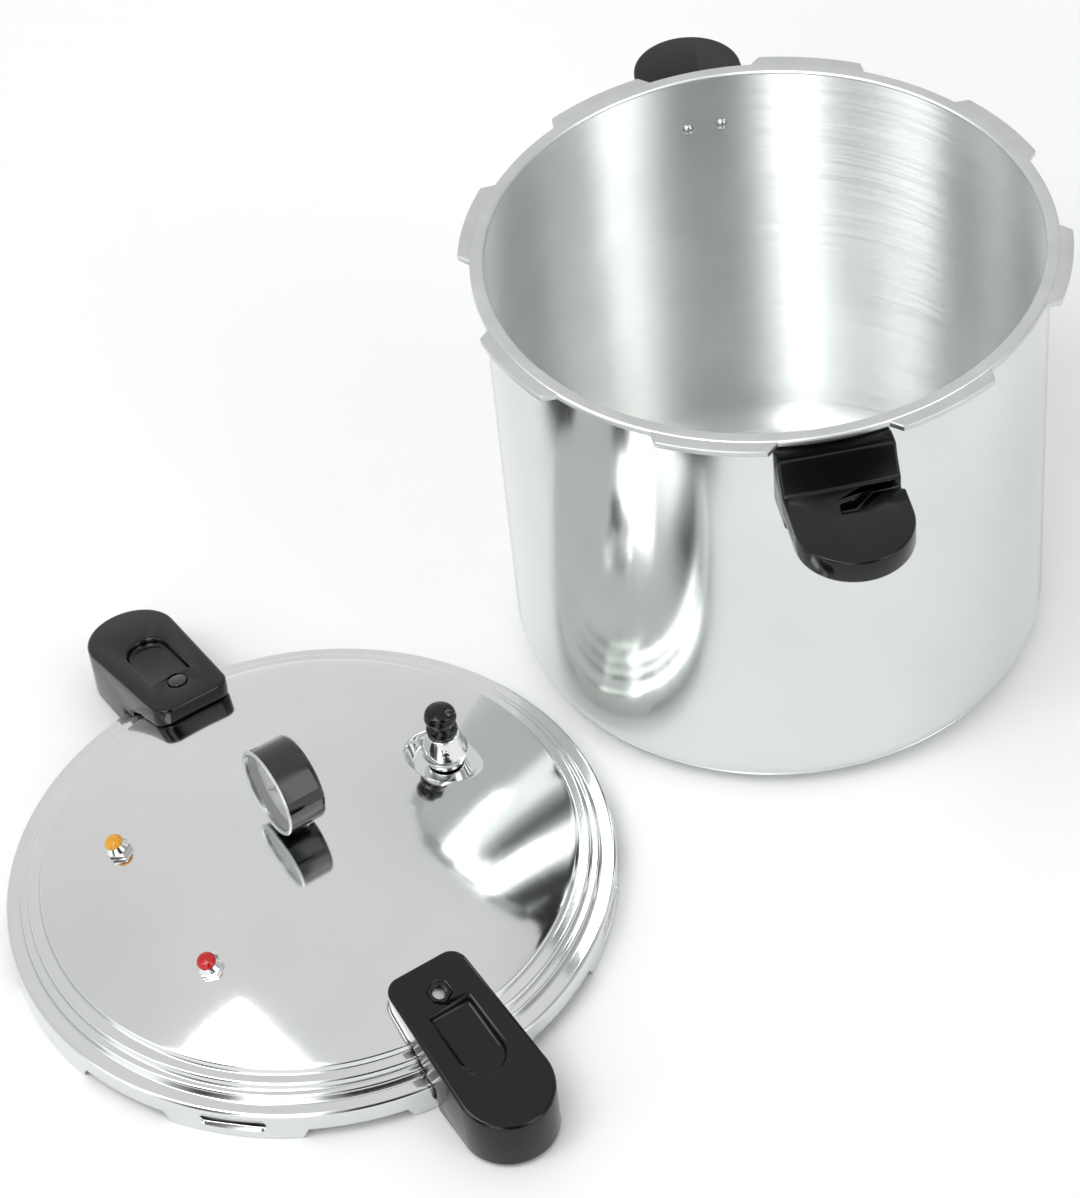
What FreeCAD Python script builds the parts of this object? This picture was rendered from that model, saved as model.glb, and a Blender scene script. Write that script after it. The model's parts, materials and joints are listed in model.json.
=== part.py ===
import FreeCAD, Part
import math
import os
import re
import Sketcher

# Pressure canner, open, with its lid lying beside it.
# Millimetres, +Z up. The origin is the middle of the pot's underside, and the pot's
# front handle points along -Y. The lid has a frame of its own: its middle on the surface
# that it lies on, and its front handle along +X.

SIZES = [
    # pot
    ("pot_height", 286),
    ("pot_radius", 162.5),
    ("pot_wall", 3),
    ("pot_corner", 22),
    ("base_thickness", 4),
    ("lip_round", 2),
    ("rim_width", 5.5),
    ("rim_depth", 4.5),
    ("rim_round", 1.5),
    ("lug_count", 8),
    ("lug_reach", 7),
    ("lug_thickness", 4),
    ("lug_sweep", 20.4),
    ("lug_slant", 2.4),
    # pot handles: reaches are from the pot's wall, drops from its rim
    ("handle_length", 77.5),
    ("handle_width", 66),
    ("crest_reach", 8.5),
    ("crest_drop", 10.5),
    ("shoulder_reach", 11.5),
    ("shoulder_drop", 18),
    ("foot_reach", 18.5),
    ("plate_drop", 27),
    ("plate_thickness", 15),
    ("root_reach", 22.5),
    ("root_drop", 47),
    ("groove_width", 8),
    ("groove_depth", 7),
    ("groove_lead", 17),
    ("pot_screw_drop", 36.5),
    ("pot_screw_offset", 10.5),
    ("pot_screw_length", 16),
    ("screw_head_height", 2.4),
    # lid shell: rises are from the flange's top
    ("lid_wall", 3),
    ("skirt_gap", 0.5),
    ("skirt_depth", 20),
    ("flange_width", 10),
    ("step_width", 5),
    ("step_rise", 5),
    ("ledge_width", 7.5),
    ("ledge_rise", 9.5),
    ("dome_foot_rise", 13),
    ("dome_rise", 33),
    ("hook_foot", 7),
    ("hook_thickness", 3),
    ("hook_clearance", 2.2),
    ("hook_sweep", 19),
    ("tab_sweep", 24.8),
    ("slot_length", 38),
    ("slot_height", 5),
    ("slot_middle", 11.5),
    ("slot_bearing", 45),
    ("dish_distance", 97),
    ("dish_radius", 22),
    ("dish_floor_rise", 28.5),
    ("lid_rest_gap", 5),
    ("lid_rest_bearing", 207.4),
    # lid handles
    ("grip_lap", 29),
    ("grip_width", 56),
    ("grip_inner_width", 50),
    ("grip_corner", 10),
    ("grip_inner_top", 57),
    ("grip_outer_top", 35),
    ("grip_foot", 2),
    ("bridge_gap", 1),
    ("recess_start", 2),
    ("recess_length", 46),
    ("recess_width", 26),
    ("recess_depth", 5),
    ("bolt_inset", 19),
    ("bolt_offset", 14),
    ("bolt_radius", 2.5),
    ("bolt_length", 11),
    ("insert_radius", 4.2),
    ("insert_length", 8),
    # lock pin and catch pin of the front lid handle
    ("lock_inset", 14),
    ("lock_stem_radius", 2.7),
    ("lock_cap_radius", 3.8),
    ("lock_bore_radius", 4.2),
    ("lock_bush_hexagon", 11.6),
    ("lock_bush_length", 16),
    ("lock_rise", 3.5),
    ("lock_head_radius", 6),
    ("lock_head_thickness", 2),
    ("catch_reach", 33.5),
    ("catch_radius", 3),
    ("catch_foot", 0.2),
    ("catch_length", 24),
    ("catch_collar_radius", 4.5),
    ("catch_collar_thickness", 1.7),
    ("catch_chamber_radius", 4.8),
    ("catch_chamber_floor", 6),
    ("catch_chamber_roof", 34),
    ("catch_bush_radius", 6),
    ("catch_wire_radius", 0.4),
    ("plug_inset", 6),
    ("plug_radius", 5.6),
    ("plug_depth", 3),
    ("plug_proud", 0.4),
    # sealing ring
    ("gasket_inset", 3),
    ("gasket_foot", 16.3),
    ("gasket_height", 5.4),
    ("running_gap", 0.3),
    ("seat_gap", 0.15),
    ("seal_thickness", 1.5),
    ("nut_height", 5),
    # pressure gauge
    ("gauge_radius", 26),
    ("gauge_depth", 24),
    ("gauge_wall", 1),
    ("gauge_back", 7),
    ("gauge_middle_rise", 31),
    ("stem_radius", 5),
    ("stem_neck_radius", 3.2),
    ("stem_neck_top", 14),
    ("stem_hexagon", 14),
    ("stem_nut_hexagon", 19),
    ("socket_width", 12),
    ("socket_foot", 23.5),
    ("socket_top", 12),
    ("frame_level", 10.8),
    ("frame_thickness", 1.2),
    ("dial_level", 15.5),
    ("dial_thickness", 0.6),
    ("window_thickness", 1.6),
    ("bezel_width", 3),
    ("bezel_thickness", 1.5),
    ("bezel_lap", 0.6),
    ("needle_level", 17.3),
    ("needle_thickness", 0.5),
    ("needle_length", 18.5),
    ("needle_tail", 7),
    ("needle_width", 1.6),
    ("needle_hub_radius", 2.4),
    ("needle_zero_bearing", 225),
    ("spindle_radius", 0.7),
    ("gear_level", 12.4),
    ("gear_thickness", 1),
    ("pinion_radius", 1.8),
    ("sector_radius", 10.6),
    ("sector_sweep", 62),
    ("sector_zero_bearing", 65.5),
    ("tube_bend_radius", 14.5),
    ("tube_radius", 1.8),
    ("tube_level", 6),
    ("tube_sweep", 245),
    # weight
    ("vent_radius", 5),
    ("vent_bore_radius", 1.4),
    ("vent_rise", 12),
    ("vent_nut_hexagon", 17),
    ("weight_foot", 1.5),
    ("weight_waist_height", 11),
    ("weight_radius", 14),
    ("weight_height", 24),
    ("knob_radius", 9.8),
    ("knob_height", 20),
    ("knob_dome", 6),
    ("knob_stem_radius", 3),
    ("knob_stem_length", 5),
    ("steam_hole_radius", 1.6),
    ("steam_hole_height", 17),
    # relief valves
    ("valve_distance", 107),
    ("valve_hexagon", 14),
    ("valve_hexagon_height", 3.5),
    ("valve_height", 6.5),
    ("valve_shank_radius", 4),
    ("valve_shank_length", 9),
    ("valve_bore_radius", 3.2),
    ("valve_stem_radius", 1.8),
    ("valve_port_radius", 1.5),
    ("valve_seat_depth", 4),
    ("valve_lip", 1.5),
    ("valve_plug_length", 2.5),
    ("valve_cap_radius", 5.6),
    ("valve_cap_height", 4.1),
    ("valve_nut_hexagon", 13),
    ("wire_radius", 0.3),
]

doc = FreeCAD.newDocument("PressureCanner")
sheet = doc.addObject("Spreadsheet::Sheet", "Sizes")
for row, (alias, amount) in enumerate(SIZES, 1):
    sheet.set(f"A{row}", alias)
    sheet.set(f"B{row}", str(amount))
    sheet.setAlias(f"B{row}", alias)
doc.recompute()

ALIASES = re.compile(r"\b(" + "|".join(alias for alias, amount in SIZES) + r")\b")
PARTS = []

# Radii and levels that follow from the sheet, as expressions.
RIM = "(pot_radius + rim_width)"
LUG = "(pot_radius + rim_width + lug_reach)"
MOUTH = "(pot_radius - pot_wall + lip_round)"
INSIDE = "(pot_radius - pot_wall)"
HANDLE_END = "(pot_radius + handle_length)"
PLATE_TOP = "(pot_height - plate_drop)"
CATCH = "(pot_radius + catch_reach)"
HALF_PITCH = "(180 / lug_count)"

SKIRT_IN = f"({LUG} + skirt_gap)"
SKIRT_OUT = f"({LUG} + skirt_gap + lid_wall)"
STEP = f"({SKIRT_OUT} - flange_width)"
LEDGE = f"({STEP} - step_width)"
DOME = f"({LEDGE} - ledge_width)"
FLANGE_TOP = "skirt_depth"
STEP_TOP = "(skirt_depth + step_rise)"
LEDGE_TOP = "(skirt_depth + ledge_rise)"
DOME_FOOT = "(skirt_depth + dome_foot_rise)"
APEX = "(skirt_depth + dome_foot_rise + dome_rise)"
BALL = f"(({DOME} ^ 2 + dome_rise ^ 2) / (2 * dome_rise))"
DISH_FLOOR = "(skirt_depth + dish_floor_rise)"
GRIP_INNER = f"({DOME} - grip_lap)"
GRIP_SLOPE = f"((grip_inner_top - grip_outer_top) / ({HANDLE_END} - {GRIP_INNER}))"
LOCK = f"({DOME} - lock_inset)"


def dome_height(distance, skin="0"):
    """Height of the dome's outer skin, or of a skin below it, at a distance from its axis."""
    return f"({APEX} - {BALL} + sqrt(({BALL} - {skin}) ^ 2 - ({distance}) ^ 2))"


def grip_top(distance):
    """Height of a lid handle's sloping top at a distance from the lid's axis."""
    return f"(grip_inner_top - ({distance} - {GRIP_INNER}) * {GRIP_SLOPE})"


def bound(text):
    """The expression as other objects write it, with the sheet named."""
    return ALIASES.sub(r"Sizes.\1", text)


def number(text):
    return float(sheet.evalExpression(text))


def bind(thing, **properties):
    for name, text in properties.items():
        thing.setExpression(name.replace("_", "."), bound(text))


def arc_through(start, end, radius):
    """The arc from start to end that turns left for a positive radius, right for a negative."""
    left = radius > 0
    chord = end - start
    middle = (start + end) * 0.5
    reach = math.sqrt(max(radius * radius - chord.Length ** 2 / 4, 0))
    side = FreeCAD.Vector(-chord.y, chord.x, 0) / chord.Length
    centre = middle + side * (reach if left else -reach)
    first, last = (start, end) if left else (end, start)
    low = math.atan2(first.y - centre.y, first.x - centre.x)
    high = math.atan2(last.y - centre.y, last.x - centre.x)
    if high < low:
        high += 2 * math.pi
    circle = Part.Circle(centre, FreeCAD.Vector(0, 0, 1), abs(radius))
    return Part.ArcOfCircle(circle, low, high)


def outline(sketch, points):
    """A closed outline through points of two expressions, each coordinate bound to the sheet.

    A third expression is the radius of the arc that arrives at the point."""
    places = [FreeCAD.Vector(number(point[0]), number(point[1]), 0) for point in points]
    count = len(points)
    ends = []
    for index in range(count):
        after = points[(index + 1) % count]
        start, end = places[index], places[(index + 1) % count]
        if len(after) == 3:
            radius = number(after[2])
            sketch.addGeometry(arc_through(start, end, radius), False)
            ends.append((1, 2) if radius > 0 else (2, 1))
        else:
            sketch.addGeometry(Part.LineSegment(start, end), False)
            ends.append((1, 2))
    for index in range(count):
        following = (index + 1) % count
        sketch.addConstraint(
            Sketcher.Constraint("Coincident", index, ends[index][1], following, ends[following][0])
        )
    for index, point in enumerate(points):
        vertex = ends[index][0]
        for text, kind, axis in ((point[0], "DistanceX", -2), (point[1], "DistanceY", -1)):
            if text == "0":
                sketch.addConstraint(Sketcher.Constraint("PointOnObject", index, vertex, axis))
            else:
                held = Sketcher.Constraint(kind, -1, 1, index, vertex, number(text))
                place = sketch.addConstraint(held)
                sketch.setExpression(f"Constraints[{place}]", bound(text))
        if len(point) == 3:
            arriving = (index - 1) % count
            held = Sketcher.Constraint("Radius", arriving, abs(number(point[2])))
            place = sketch.addConstraint(held)
            sketch.setExpression(f"Constraints[{place}]", bound(f"abs({point[2]})"))


def new_sketch(body, name, role):
    sketch = body.newObject("Sketcher::SketchObject", name)
    plane = [face for face in body.Origin.OriginFeatures if face.Role == role][0]
    sketch.AttachmentSupport = [(plane, "")]
    sketch.MapMode = "FlatFace"
    return sketch


def turned(label, points):
    """A body turned about Z from an outline of (radius, height) points."""
    body = doc.addObject("PartDesign::Body", label)
    body.Label = label
    sketch = new_sketch(body, label + "_outline", "XZ_Plane")
    outline(sketch, points)
    turn = body.newObject("PartDesign::Revolution", label + "_turn")
    turn.Profile = sketch
    turn.ReferenceAxis = (sketch, ["V_Axis"])
    turn.Angle = 360
    return body


def plate(label, points, bottom, height):
    """A body with an outline in plan, from one height up."""
    body = doc.addObject("PartDesign::Body", label)
    body.Label = label
    add_plate(body, label, points, bottom, height)
    return body


def add_plate(body, name, points, bottom, height):
    sketch = new_sketch(body, name + "_plan", "XY_Plane")
    bind(sketch, AttachmentOffset_Base_z=bottom)
    outline(sketch, points)
    pad = body.newObject("PartDesign::Pad", name + "_pad")
    pad.Profile = sketch
    bind(pad, Length=height)
    return pad


def upright(label, points, width):
    """A body with an outline seen from the side, as thick as width about the middle plane."""
    body = doc.addObject("PartDesign::Body", label)
    body.Label = label
    sketch = new_sketch(body, label + "_side", "XZ_Plane")
    outline(sketch, points)
    pad = body.newObject("PartDesign::Pad", label + "_pad")
    pad.Profile = sketch
    pad.Midplane = True
    bind(pad, Length=width)
    return body


def repeat(body, feature, count):
    """The feature repeated round Z."""
    pattern = body.newObject("PartDesign::PolarPattern", feature.Name + "_ring")
    pattern.Originals = [feature]
    axis = [line for line in body.Origin.OriginFeatures if line.Role == "Z_Axis"][0]
    pattern.Axis = (axis, [""])
    pattern.Angle = 360
    bind(pattern, Occurrences=count)
    body.Tip = pattern


def stand(thing, label, place):
    """Names a primitive and puts it at three expressions, or leaves it to be put by a frame."""
    thing.Label = label
    if place:
        across, along, bottom = place
        bind(thing, Placement_Base_x=across, Placement_Base_y=along, Placement_Base_z=bottom)
    return thing


def cylinder(label, radius, height, place=None):
    rod = doc.addObject("Part::Cylinder", label)
    bind(rod, Radius=radius, Height=height)
    return stand(rod, label, place)


def hexagon(label, across_flats, height, place=None):
    prism = doc.addObject("Part::Prism", label)
    prism.Polygon = 6
    bind(prism, Circumradius=f"({across_flats}) / 2 / cos(30)", Height=height)
    return stand(prism, label, place)


def block(label, length, width, height, place):
    box = doc.addObject("Part::Box", label)
    bind(box, Length=length, Width=width, Height=height)
    return stand(box, label, place)


def cut(label, base, *tools):
    for index, tool in enumerate(tools, 1):
        name = label if index == len(tools) else f"{label}_cut_{index}"
        result = doc.addObject("Part::Cut", name)
        result.Label = name
        result.Base = base
        result.Tool = tool
        base = result
    return base


def fuse(label, *shapes):
    result = doc.addObject("Part::MultiFuse", label)
    result.Label = label
    result.Shapes = list(shapes)
    result.Refine = True
    return result


def common(label, first, second):
    result = doc.addObject("Part::Common", label)
    result.Label = label
    result.Base = first
    result.Tool = second
    return result


def group(label, members):
    result = doc.addObject("Part::Compound", label)
    result.Label = label
    result.Links = members
    return result


def coil(label, bend_radius, wire_radius, bottom, top, turns):
    """A coil spring: no primitive gives its helix a thickness, so its shape is swept here."""
    low = number(bottom) + number(wire_radius)
    rise = number(top) - number(wire_radius) - low
    bend = number(bend_radius)
    helix = Part.makeLongHelix(rise / turns, rise, bend)
    helix.translate(FreeCAD.Vector(0, 0, low))
    start = FreeCAD.Vector(bend, 0, low)
    wire = Part.Wire(Part.makeCircle(number(wire_radius), start, FreeCAD.Vector(0, 1, 0)))
    spring = doc.addObject("Part::Feature", label)
    spring.Label = label
    spring.Shape = Part.Wire(helix.Edges).makePipeShell([wire], True, True)
    return spring


def placed(across="0", along="0", up="0", turn=0.0):
    """A placement from expressions, turned about Z by degrees."""
    base = FreeCAD.Vector(number(across), number(along), number(up))
    return FreeCAD.Placement(base, FreeCAD.Rotation(FreeCAD.Vector(0, 0, 1), turn))


def turned_about(axis, degrees):
    """A placement that only turns, about one axis."""
    return FreeCAD.Placement(FreeCAD.Vector(), FreeCAD.Rotation(FreeCAD.Vector(*axis), degrees))


def on_dome(distance, bearing):
    """A frame on the dome's outer skin, Z square to the skin, in the lid's frame."""
    out = number(distance)
    tilt = math.degrees(math.asin(out / number(BALL)))
    return (
        turned_about((0, 0, 1), bearing)
        .multiply(placed(distance, "0", dome_height(distance)))
        .multiply(turned_about((0, 1, 0), tilt))
    )


def part(thing, frame=None):
    """Puts a finished sub-part in place and keeps it for writing."""
    thing.Placement = frame if frame else FreeCAD.Placement()
    PARTS.append(thing)
    return thing


def sector(inner, outer, bearing, sweep, slant="0"):
    """The plan outline of a piece of a ring, wider by slant at each inner end."""
    low = f"({bearing} - ({sweep}) / 2)"
    high = f"({bearing} + ({sweep}) / 2)"
    return [
        (f"{inner} * cos({low} - {slant})", f"{inner} * sin({low} - {slant})", f"-{inner}"),
        (f"{outer} * cos({low})", f"{outer} * sin({low})"),
        (f"{outer} * cos({high})", f"{outer} * sin({high})", outer),
        (f"{inner} * cos({high} + {slant})", f"{inner} * sin({high} + {slant})"),
    ]


def ring(label, inner, outer, bottom, height):
    """A plain ring, such as a washer, seal or bush."""
    return turned(label, [
        (inner, bottom),
        (outer, bottom),
        (outer, f"{bottom} + {height}"),
        (inner, f"{bottom} + {height}"),
    ])


def nut(label, across_flats, bore, top, frame):
    """A hexagon nut that hangs below a level of its frame."""
    foot = f"{top} - nut_height"
    prism = hexagon(label + "_prism", across_flats, "nut_height", ("0", "0", foot))
    hole = cylinder(label + "_hole", bore, "nut_height", ("0", "0", foot))
    return part(cut(label, prism, hole), frame)


LID_DISTANCE = f"({LUG} + {SKIRT_OUT} + lid_rest_gap)"
LID = placed(
    f"{LID_DISTANCE} * cos(lid_rest_bearing)", f"{LID_DISTANCE} * sin(lid_rest_bearing)", "0",
    number(HALF_PITCH) - 90,
)
FRONT = placed(turn=-90)
BACK = placed(turn=90)
GRIP_FRAMES = {"front": placed(), "back": placed(turn=180)}
GAUGE = (
    LID.multiply(placed("0", "gauge_back", f"{APEX} + gauge_middle_rise"))
    .multiply(turned_about((1, 0, 0), 90))
)
VALVES = {"amber": -120, "red": -60}
TUBE_START = -65
STEAM_HOLE_BEARING = -25
ALONG_X = FreeCAD.Rotation(FreeCAD.Vector(0, 1, 0), 90)
ALONG_Y = FreeCAD.Rotation(FreeCAD.Vector(1, 0, 0), 90)
UNDER = "(-lid_wall - seat_gap)"
SEAL_FOOT = "(-lid_wall - seat_gap - seal_thickness)"


# ---------------------------------------------------------------- pot
def make_pot():
    pot = turned("pot_shell", [
        ("0", "0"),
        ("pot_radius - pot_corner", "0"),
        ("pot_radius", "pot_corner", "pot_corner"),
        ("pot_radius", "pot_height - rim_depth"),
        (RIM, "pot_height - rim_depth"),
        (RIM, "pot_height - rim_round"),
        (f"{RIM} - rim_round", "pot_height", "rim_round"),
        (MOUTH, "pot_height"),
        (INSIDE, "pot_height - lip_round", "lip_round"),
        (INSIDE, "base_thickness + pot_corner - pot_wall"),
        ("pot_radius - pot_corner", "base_thickness", "-(pot_corner - pot_wall)"),
        ("0", "base_thickness"),
    ])
    lug = add_plate(
        pot, "lug", sector(f"({RIM} - rim_width / 2)", LUG, HALF_PITCH, "lug_sweep", "lug_slant"),
        "pot_height - rim_depth", "lug_thickness",
    )
    repeat(pot, lug, "lug_count")
    holes = []
    for side, sign in (("left", "-"), ("right", "")):
        place = (f"{sign}pot_screw_offset", LUG, "pot_height - pot_screw_drop")
        hole = cylinder(f"pot_hole_{side}", "bolt_radius", f"2 * {LUG}", place)
        hole.Placement.Rotation = ALONG_Y
        holes.append(hole)
    part(cut("pot_body", pot, *holes))


def trim(body, name, points):
    """Cuts away everything inside an outline seen from the side."""
    sketch = new_sketch(body, name, "XZ_Plane")
    outline(sketch, points)
    pocket = body.newObject("PartDesign::Pocket", name + "_cut")
    pocket.Profile = sketch
    pocket.Type = "ThroughAll"
    pocket.Midplane = True


def make_pot_handle(label, frame):
    """A handle along +X: a block on the pot's wall and a flat plate with a round end."""
    bend = f"({HANDLE_END} - handle_width / 2)"
    half = "handle_width / 2"
    body = plate(label + "_moulding", [
        ("pot_radius - root_reach", f"-{half}"),
        (bend, f"-{half}"),
        (HANDLE_END, "0", half),
        (bend, half, half),
        ("pot_radius - root_reach", half),
    ], "pot_height - root_drop", "root_drop - crest_drop")
    trim(body, label + "_above", [
        ("pot_radius + crest_reach", "pot_height"),
        ("pot_radius + crest_reach", "pot_height - crest_drop"),
        ("pot_radius + shoulder_reach", "pot_height - shoulder_drop"),
        ("pot_radius + foot_reach", PLATE_TOP),
        (f"{HANDLE_END} + root_reach", PLATE_TOP),
        (f"{HANDLE_END} + root_reach", "pot_height"),
    ])
    trim(body, label + "_below", [
        ("pot_radius + root_reach", "pot_height - 2 * root_drop"),
        ("pot_radius + root_reach", f"{PLATE_TOP} - plate_thickness"),
        (f"{HANDLE_END} + root_reach", f"{PLATE_TOP} - plate_thickness"),
        (f"{HANDLE_END} + root_reach", "pot_height - 2 * root_drop"),
    ])

    # The groove: in at one side along the block's foot, then slanting out to a square end.
    near = "(pot_radius + foot_reach + running_gap)"
    wide = "groove_width / 2"
    sketch = new_sketch(body, label + "_groove", "XY_Plane")
    bind(sketch, AttachmentOffset_Base_z=PLATE_TOP)
    outline(sketch, [
        (near, "handle_width"),
        (near, "groove_lead"),
        (f"{CATCH} - {wide}", wide),
        (f"{CATCH} - {wide}", f"-{wide}"),
        (f"{CATCH} + {wide}", f"-{wide}"),
        (f"{CATCH} + {wide}", wide),
        (f"{near} + groove_width", f"groove_lead + {wide}"),
        (f"{near} + groove_width", "handle_width"),
    ])
    pocket = body.newObject("PartDesign::Pocket", label + "_groove_cut")
    pocket.Profile = sketch
    bind(pocket, Length="groove_depth")

    tools = [cylinder(label + "_wall", "pot_radius", "pot_height")]
    for side, sign in (("left", "-"), ("right", "")):
        place = (INSIDE, f"{sign}pot_screw_offset", "pot_height - pot_screw_drop")
        depth = "pot_screw_length + insert_length / 2"
        bore = cylinder(f"{label}_bore_{side}", "insert_radius", depth, place)
        bore.Placement.Rotation = ALONG_X
        tools.append(bore)
    part(cut(label, body, *tools), frame)


def screw_frames():
    """Where the pot's handle screws lie: Z outwards, from the flat under the head."""
    seat = "sqrt((pot_radius - pot_wall) ^ 2 - (pot_screw_offset + 1.5 * bolt_radius) ^ 2)"
    frames = []
    for frame in (FRONT, BACK):
        for sign in ("-", ""):
            place = placed(seat, f"{sign}pot_screw_offset", "pot_height - pot_screw_drop")
            frames.append(frame.multiply(place).multiply(turned_about((0, 1, 0), 90)))
    return frames


def make_pot_fasteners():
    screws = []
    inserts = []
    for index, frame in enumerate(screw_frames(), 1):
        screw = turned(f"pot_screw_{index}", [
            ("0", "-screw_head_height"),
            ("1.5 * bolt_radius", "0", "1.5 * bolt_radius"),
            ("bolt_radius", "0"),
            ("bolt_radius", "pot_screw_length"),
            ("0", "pot_screw_length"),
        ])
        insert = ring(f"pot_insert_{index}", "bolt_radius", "insert_radius",
                      "pot_screw_length - insert_length", "insert_length")
        screw.Placement = frame
        insert.Placement = frame
        screws.append(screw)
        inserts.append(insert)
    part(group("pot_handle_screws", screws))
    part(group("pot_handle_inserts", inserts))


# ---------------------------------------------------------------- lid
def bolt_frames(bearing):
    """Frames of one lid handle's two bolts, square to the dome."""
    inset = f"({DOME} - bolt_inset)"
    spread = math.degrees(math.atan2(number("bolt_offset"), number(inset)))
    away = f"sqrt({inset} ^ 2 + bolt_offset ^ 2)"
    return [on_dome(away, bearing + side * spread) for side in (-1, 1)]


def dome_holes():
    """Radius and frame of each hole that is square to the dome."""
    holes = [("lock_stem_radius + 2 * running_gap", on_dome(LOCK, 0))]
    for bearing in VALVES.values():
        holes.append(("valve_shank_radius", on_dome("valve_distance", bearing)))
    for bearing in (0, 180):
        holes.extend(("bolt_radius", frame) for frame in bolt_frames(bearing))
    return holes


def make_lid_pressing():
    """The lid's one sheet: dome, two rolled rings, flange, skirt, tabs and hooks."""
    edge = f"({DOME} - lid_wall / 1.2)"
    shell = turned("lid_pressing", [
        ("0", APEX),
        (DOME, DOME_FOOT, f"-{BALL}"),
        (f"{DOME} + lid_wall / 2", LEDGE_TOP),
        (LEDGE, LEDGE_TOP),
        (f"{LEDGE} + lid_wall / 2", STEP_TOP),
        (STEP, STEP_TOP),
        (f"{STEP} + lid_wall / 2", FLANGE_TOP),
        (f"{SKIRT_OUT} - lid_wall / 2", FLANGE_TOP),
        (SKIRT_OUT, f"{FLANGE_TOP} - lid_wall / 2", "-lid_wall / 2"),
        (SKIRT_OUT, "hook_foot"),
        (SKIRT_IN, "hook_foot"),
        (SKIRT_IN, f"{FLANGE_TOP} - lid_wall"),
        (f"{STEP} - lid_wall / 3", f"{FLANGE_TOP} - lid_wall"),
        (f"{STEP} - lid_wall / 1.5", f"{STEP_TOP} - lid_wall"),
        (LEDGE, f"{STEP_TOP} - lid_wall"),
        (f"{LEDGE} - lid_wall / 2", f"{LEDGE_TOP} - lid_wall"),
        (f"{DOME} - lid_wall / 3", f"{LEDGE_TOP} - lid_wall"),
        (edge, dome_height(edge, "lid_wall")),
        ("0", f"{APEX} - lid_wall", f"{BALL} - lid_wall"),
    ])
    tab = add_plate(shell, "tab", sector(SKIRT_IN, SKIRT_OUT, "0", "tab_sweep"), "0", "hook_foot + lid_wall")
    repeat(shell, tab, "lug_count")
    turned_in = sector(f"({RIM} + hook_clearance)", f"({SKIRT_OUT} - lid_wall / 2)", HALF_PITCH, "hook_sweep")
    hook = add_plate(shell, "hook", turned_in, "hook_foot", "hook_thickness")
    repeat(shell, hook, "lug_count")
    return shell


def make_slot(label, bearing):
    """A round-ended slot through the skirt, long way round the lid."""
    straight = "(slot_length - slot_height) / 2"
    round_end = "slot_height / 2"
    slot = upright(label, [
        (f"-{straight}", f"-{round_end}", round_end),
        (straight, f"-{round_end}"),
        ("slot_length / 2", "0", round_end),
        (straight, round_end, round_end),
        (f"-{straight}", round_end),
        ("-slot_length / 2", "0", round_end),
    ], "8 * lid_wall")
    slot.Placement = (
        turned_about((0, 0, 1), bearing + 90).multiply(placed("0", f"-{SKIRT_OUT}", "slot_middle"))
    )
    return slot


def make_lid_shell():
    shell = make_lid_pressing()

    # The pressed dish that the weight's vent pipe stands in.
    filled = turned("dome_filled", [
        ("0", DOME_FOOT),
        (DOME, DOME_FOOT),
        ("0", APEX, BALL),
    ])
    under = ("0", "dish_distance", f"{DISH_FLOOR} - lid_wall")
    rim = cylinder("dish_rim", "dish_radius + lid_wall", APEX, under)
    joined = fuse("lid_joined", shell, common("dish_seat", filled, rim))
    tools = [
        cylinder("dish_hollow", "dish_radius", APEX, ("0", "dish_distance", DISH_FLOOR)),
        cylinder("stem_hole", "stem_radius", APEX, ("0", "0", DOME_FOOT)),
        cylinder("vent_hole", "vent_radius", APEX, ("0", "dish_distance", "0")),
        make_slot("slot_left", -number("slot_bearing")),
        make_slot("slot_right", number("slot_bearing")),
    ]
    for index, (radius, frame) in enumerate(dome_holes(), 1):
        hole = cylinder(f"dome_hole_{index}", radius, "8 * lid_wall")
        hole.Placement = frame.multiply(placed(up="-4 * lid_wall"))
        tools.append(hole)
    part(cut("lid_shell", joined, *tools), LID)


def grip_envelope(label):
    """The space that the lid takes under a handle, which bridges its rings."""
    return turned(label, [
        ("0", "0"),
        (f"{SKIRT_OUT} + bridge_gap", "0"),
        (f"{SKIRT_OUT} + bridge_gap", FLANGE_TOP),
        (f"{STEP} + lid_wall / 2", FLANGE_TOP),
        (f"{STEP} + lid_wall / 2", f"{STEP_TOP} + bridge_gap"),
        (f"{DOME} + bridge_gap", f"{DOME_FOOT} + bridge_gap"),
        (DOME, DOME_FOOT),
        ("0", APEX, BALL),
    ])


def on_grip(distance):
    """A frame on a lid handle's sloping top, Z square to it."""
    lean = math.degrees(math.atan(number(GRIP_SLOPE)))
    return placed(distance, "0", grip_top(distance)).multiply(turned_about((0, 1, 0), lean))


def plug_frame():
    """The middle of the foot of the plug in a lid handle's top."""
    return on_grip(f"({DOME} - plug_inset)").multiply(placed(up="-plug_depth"))


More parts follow.
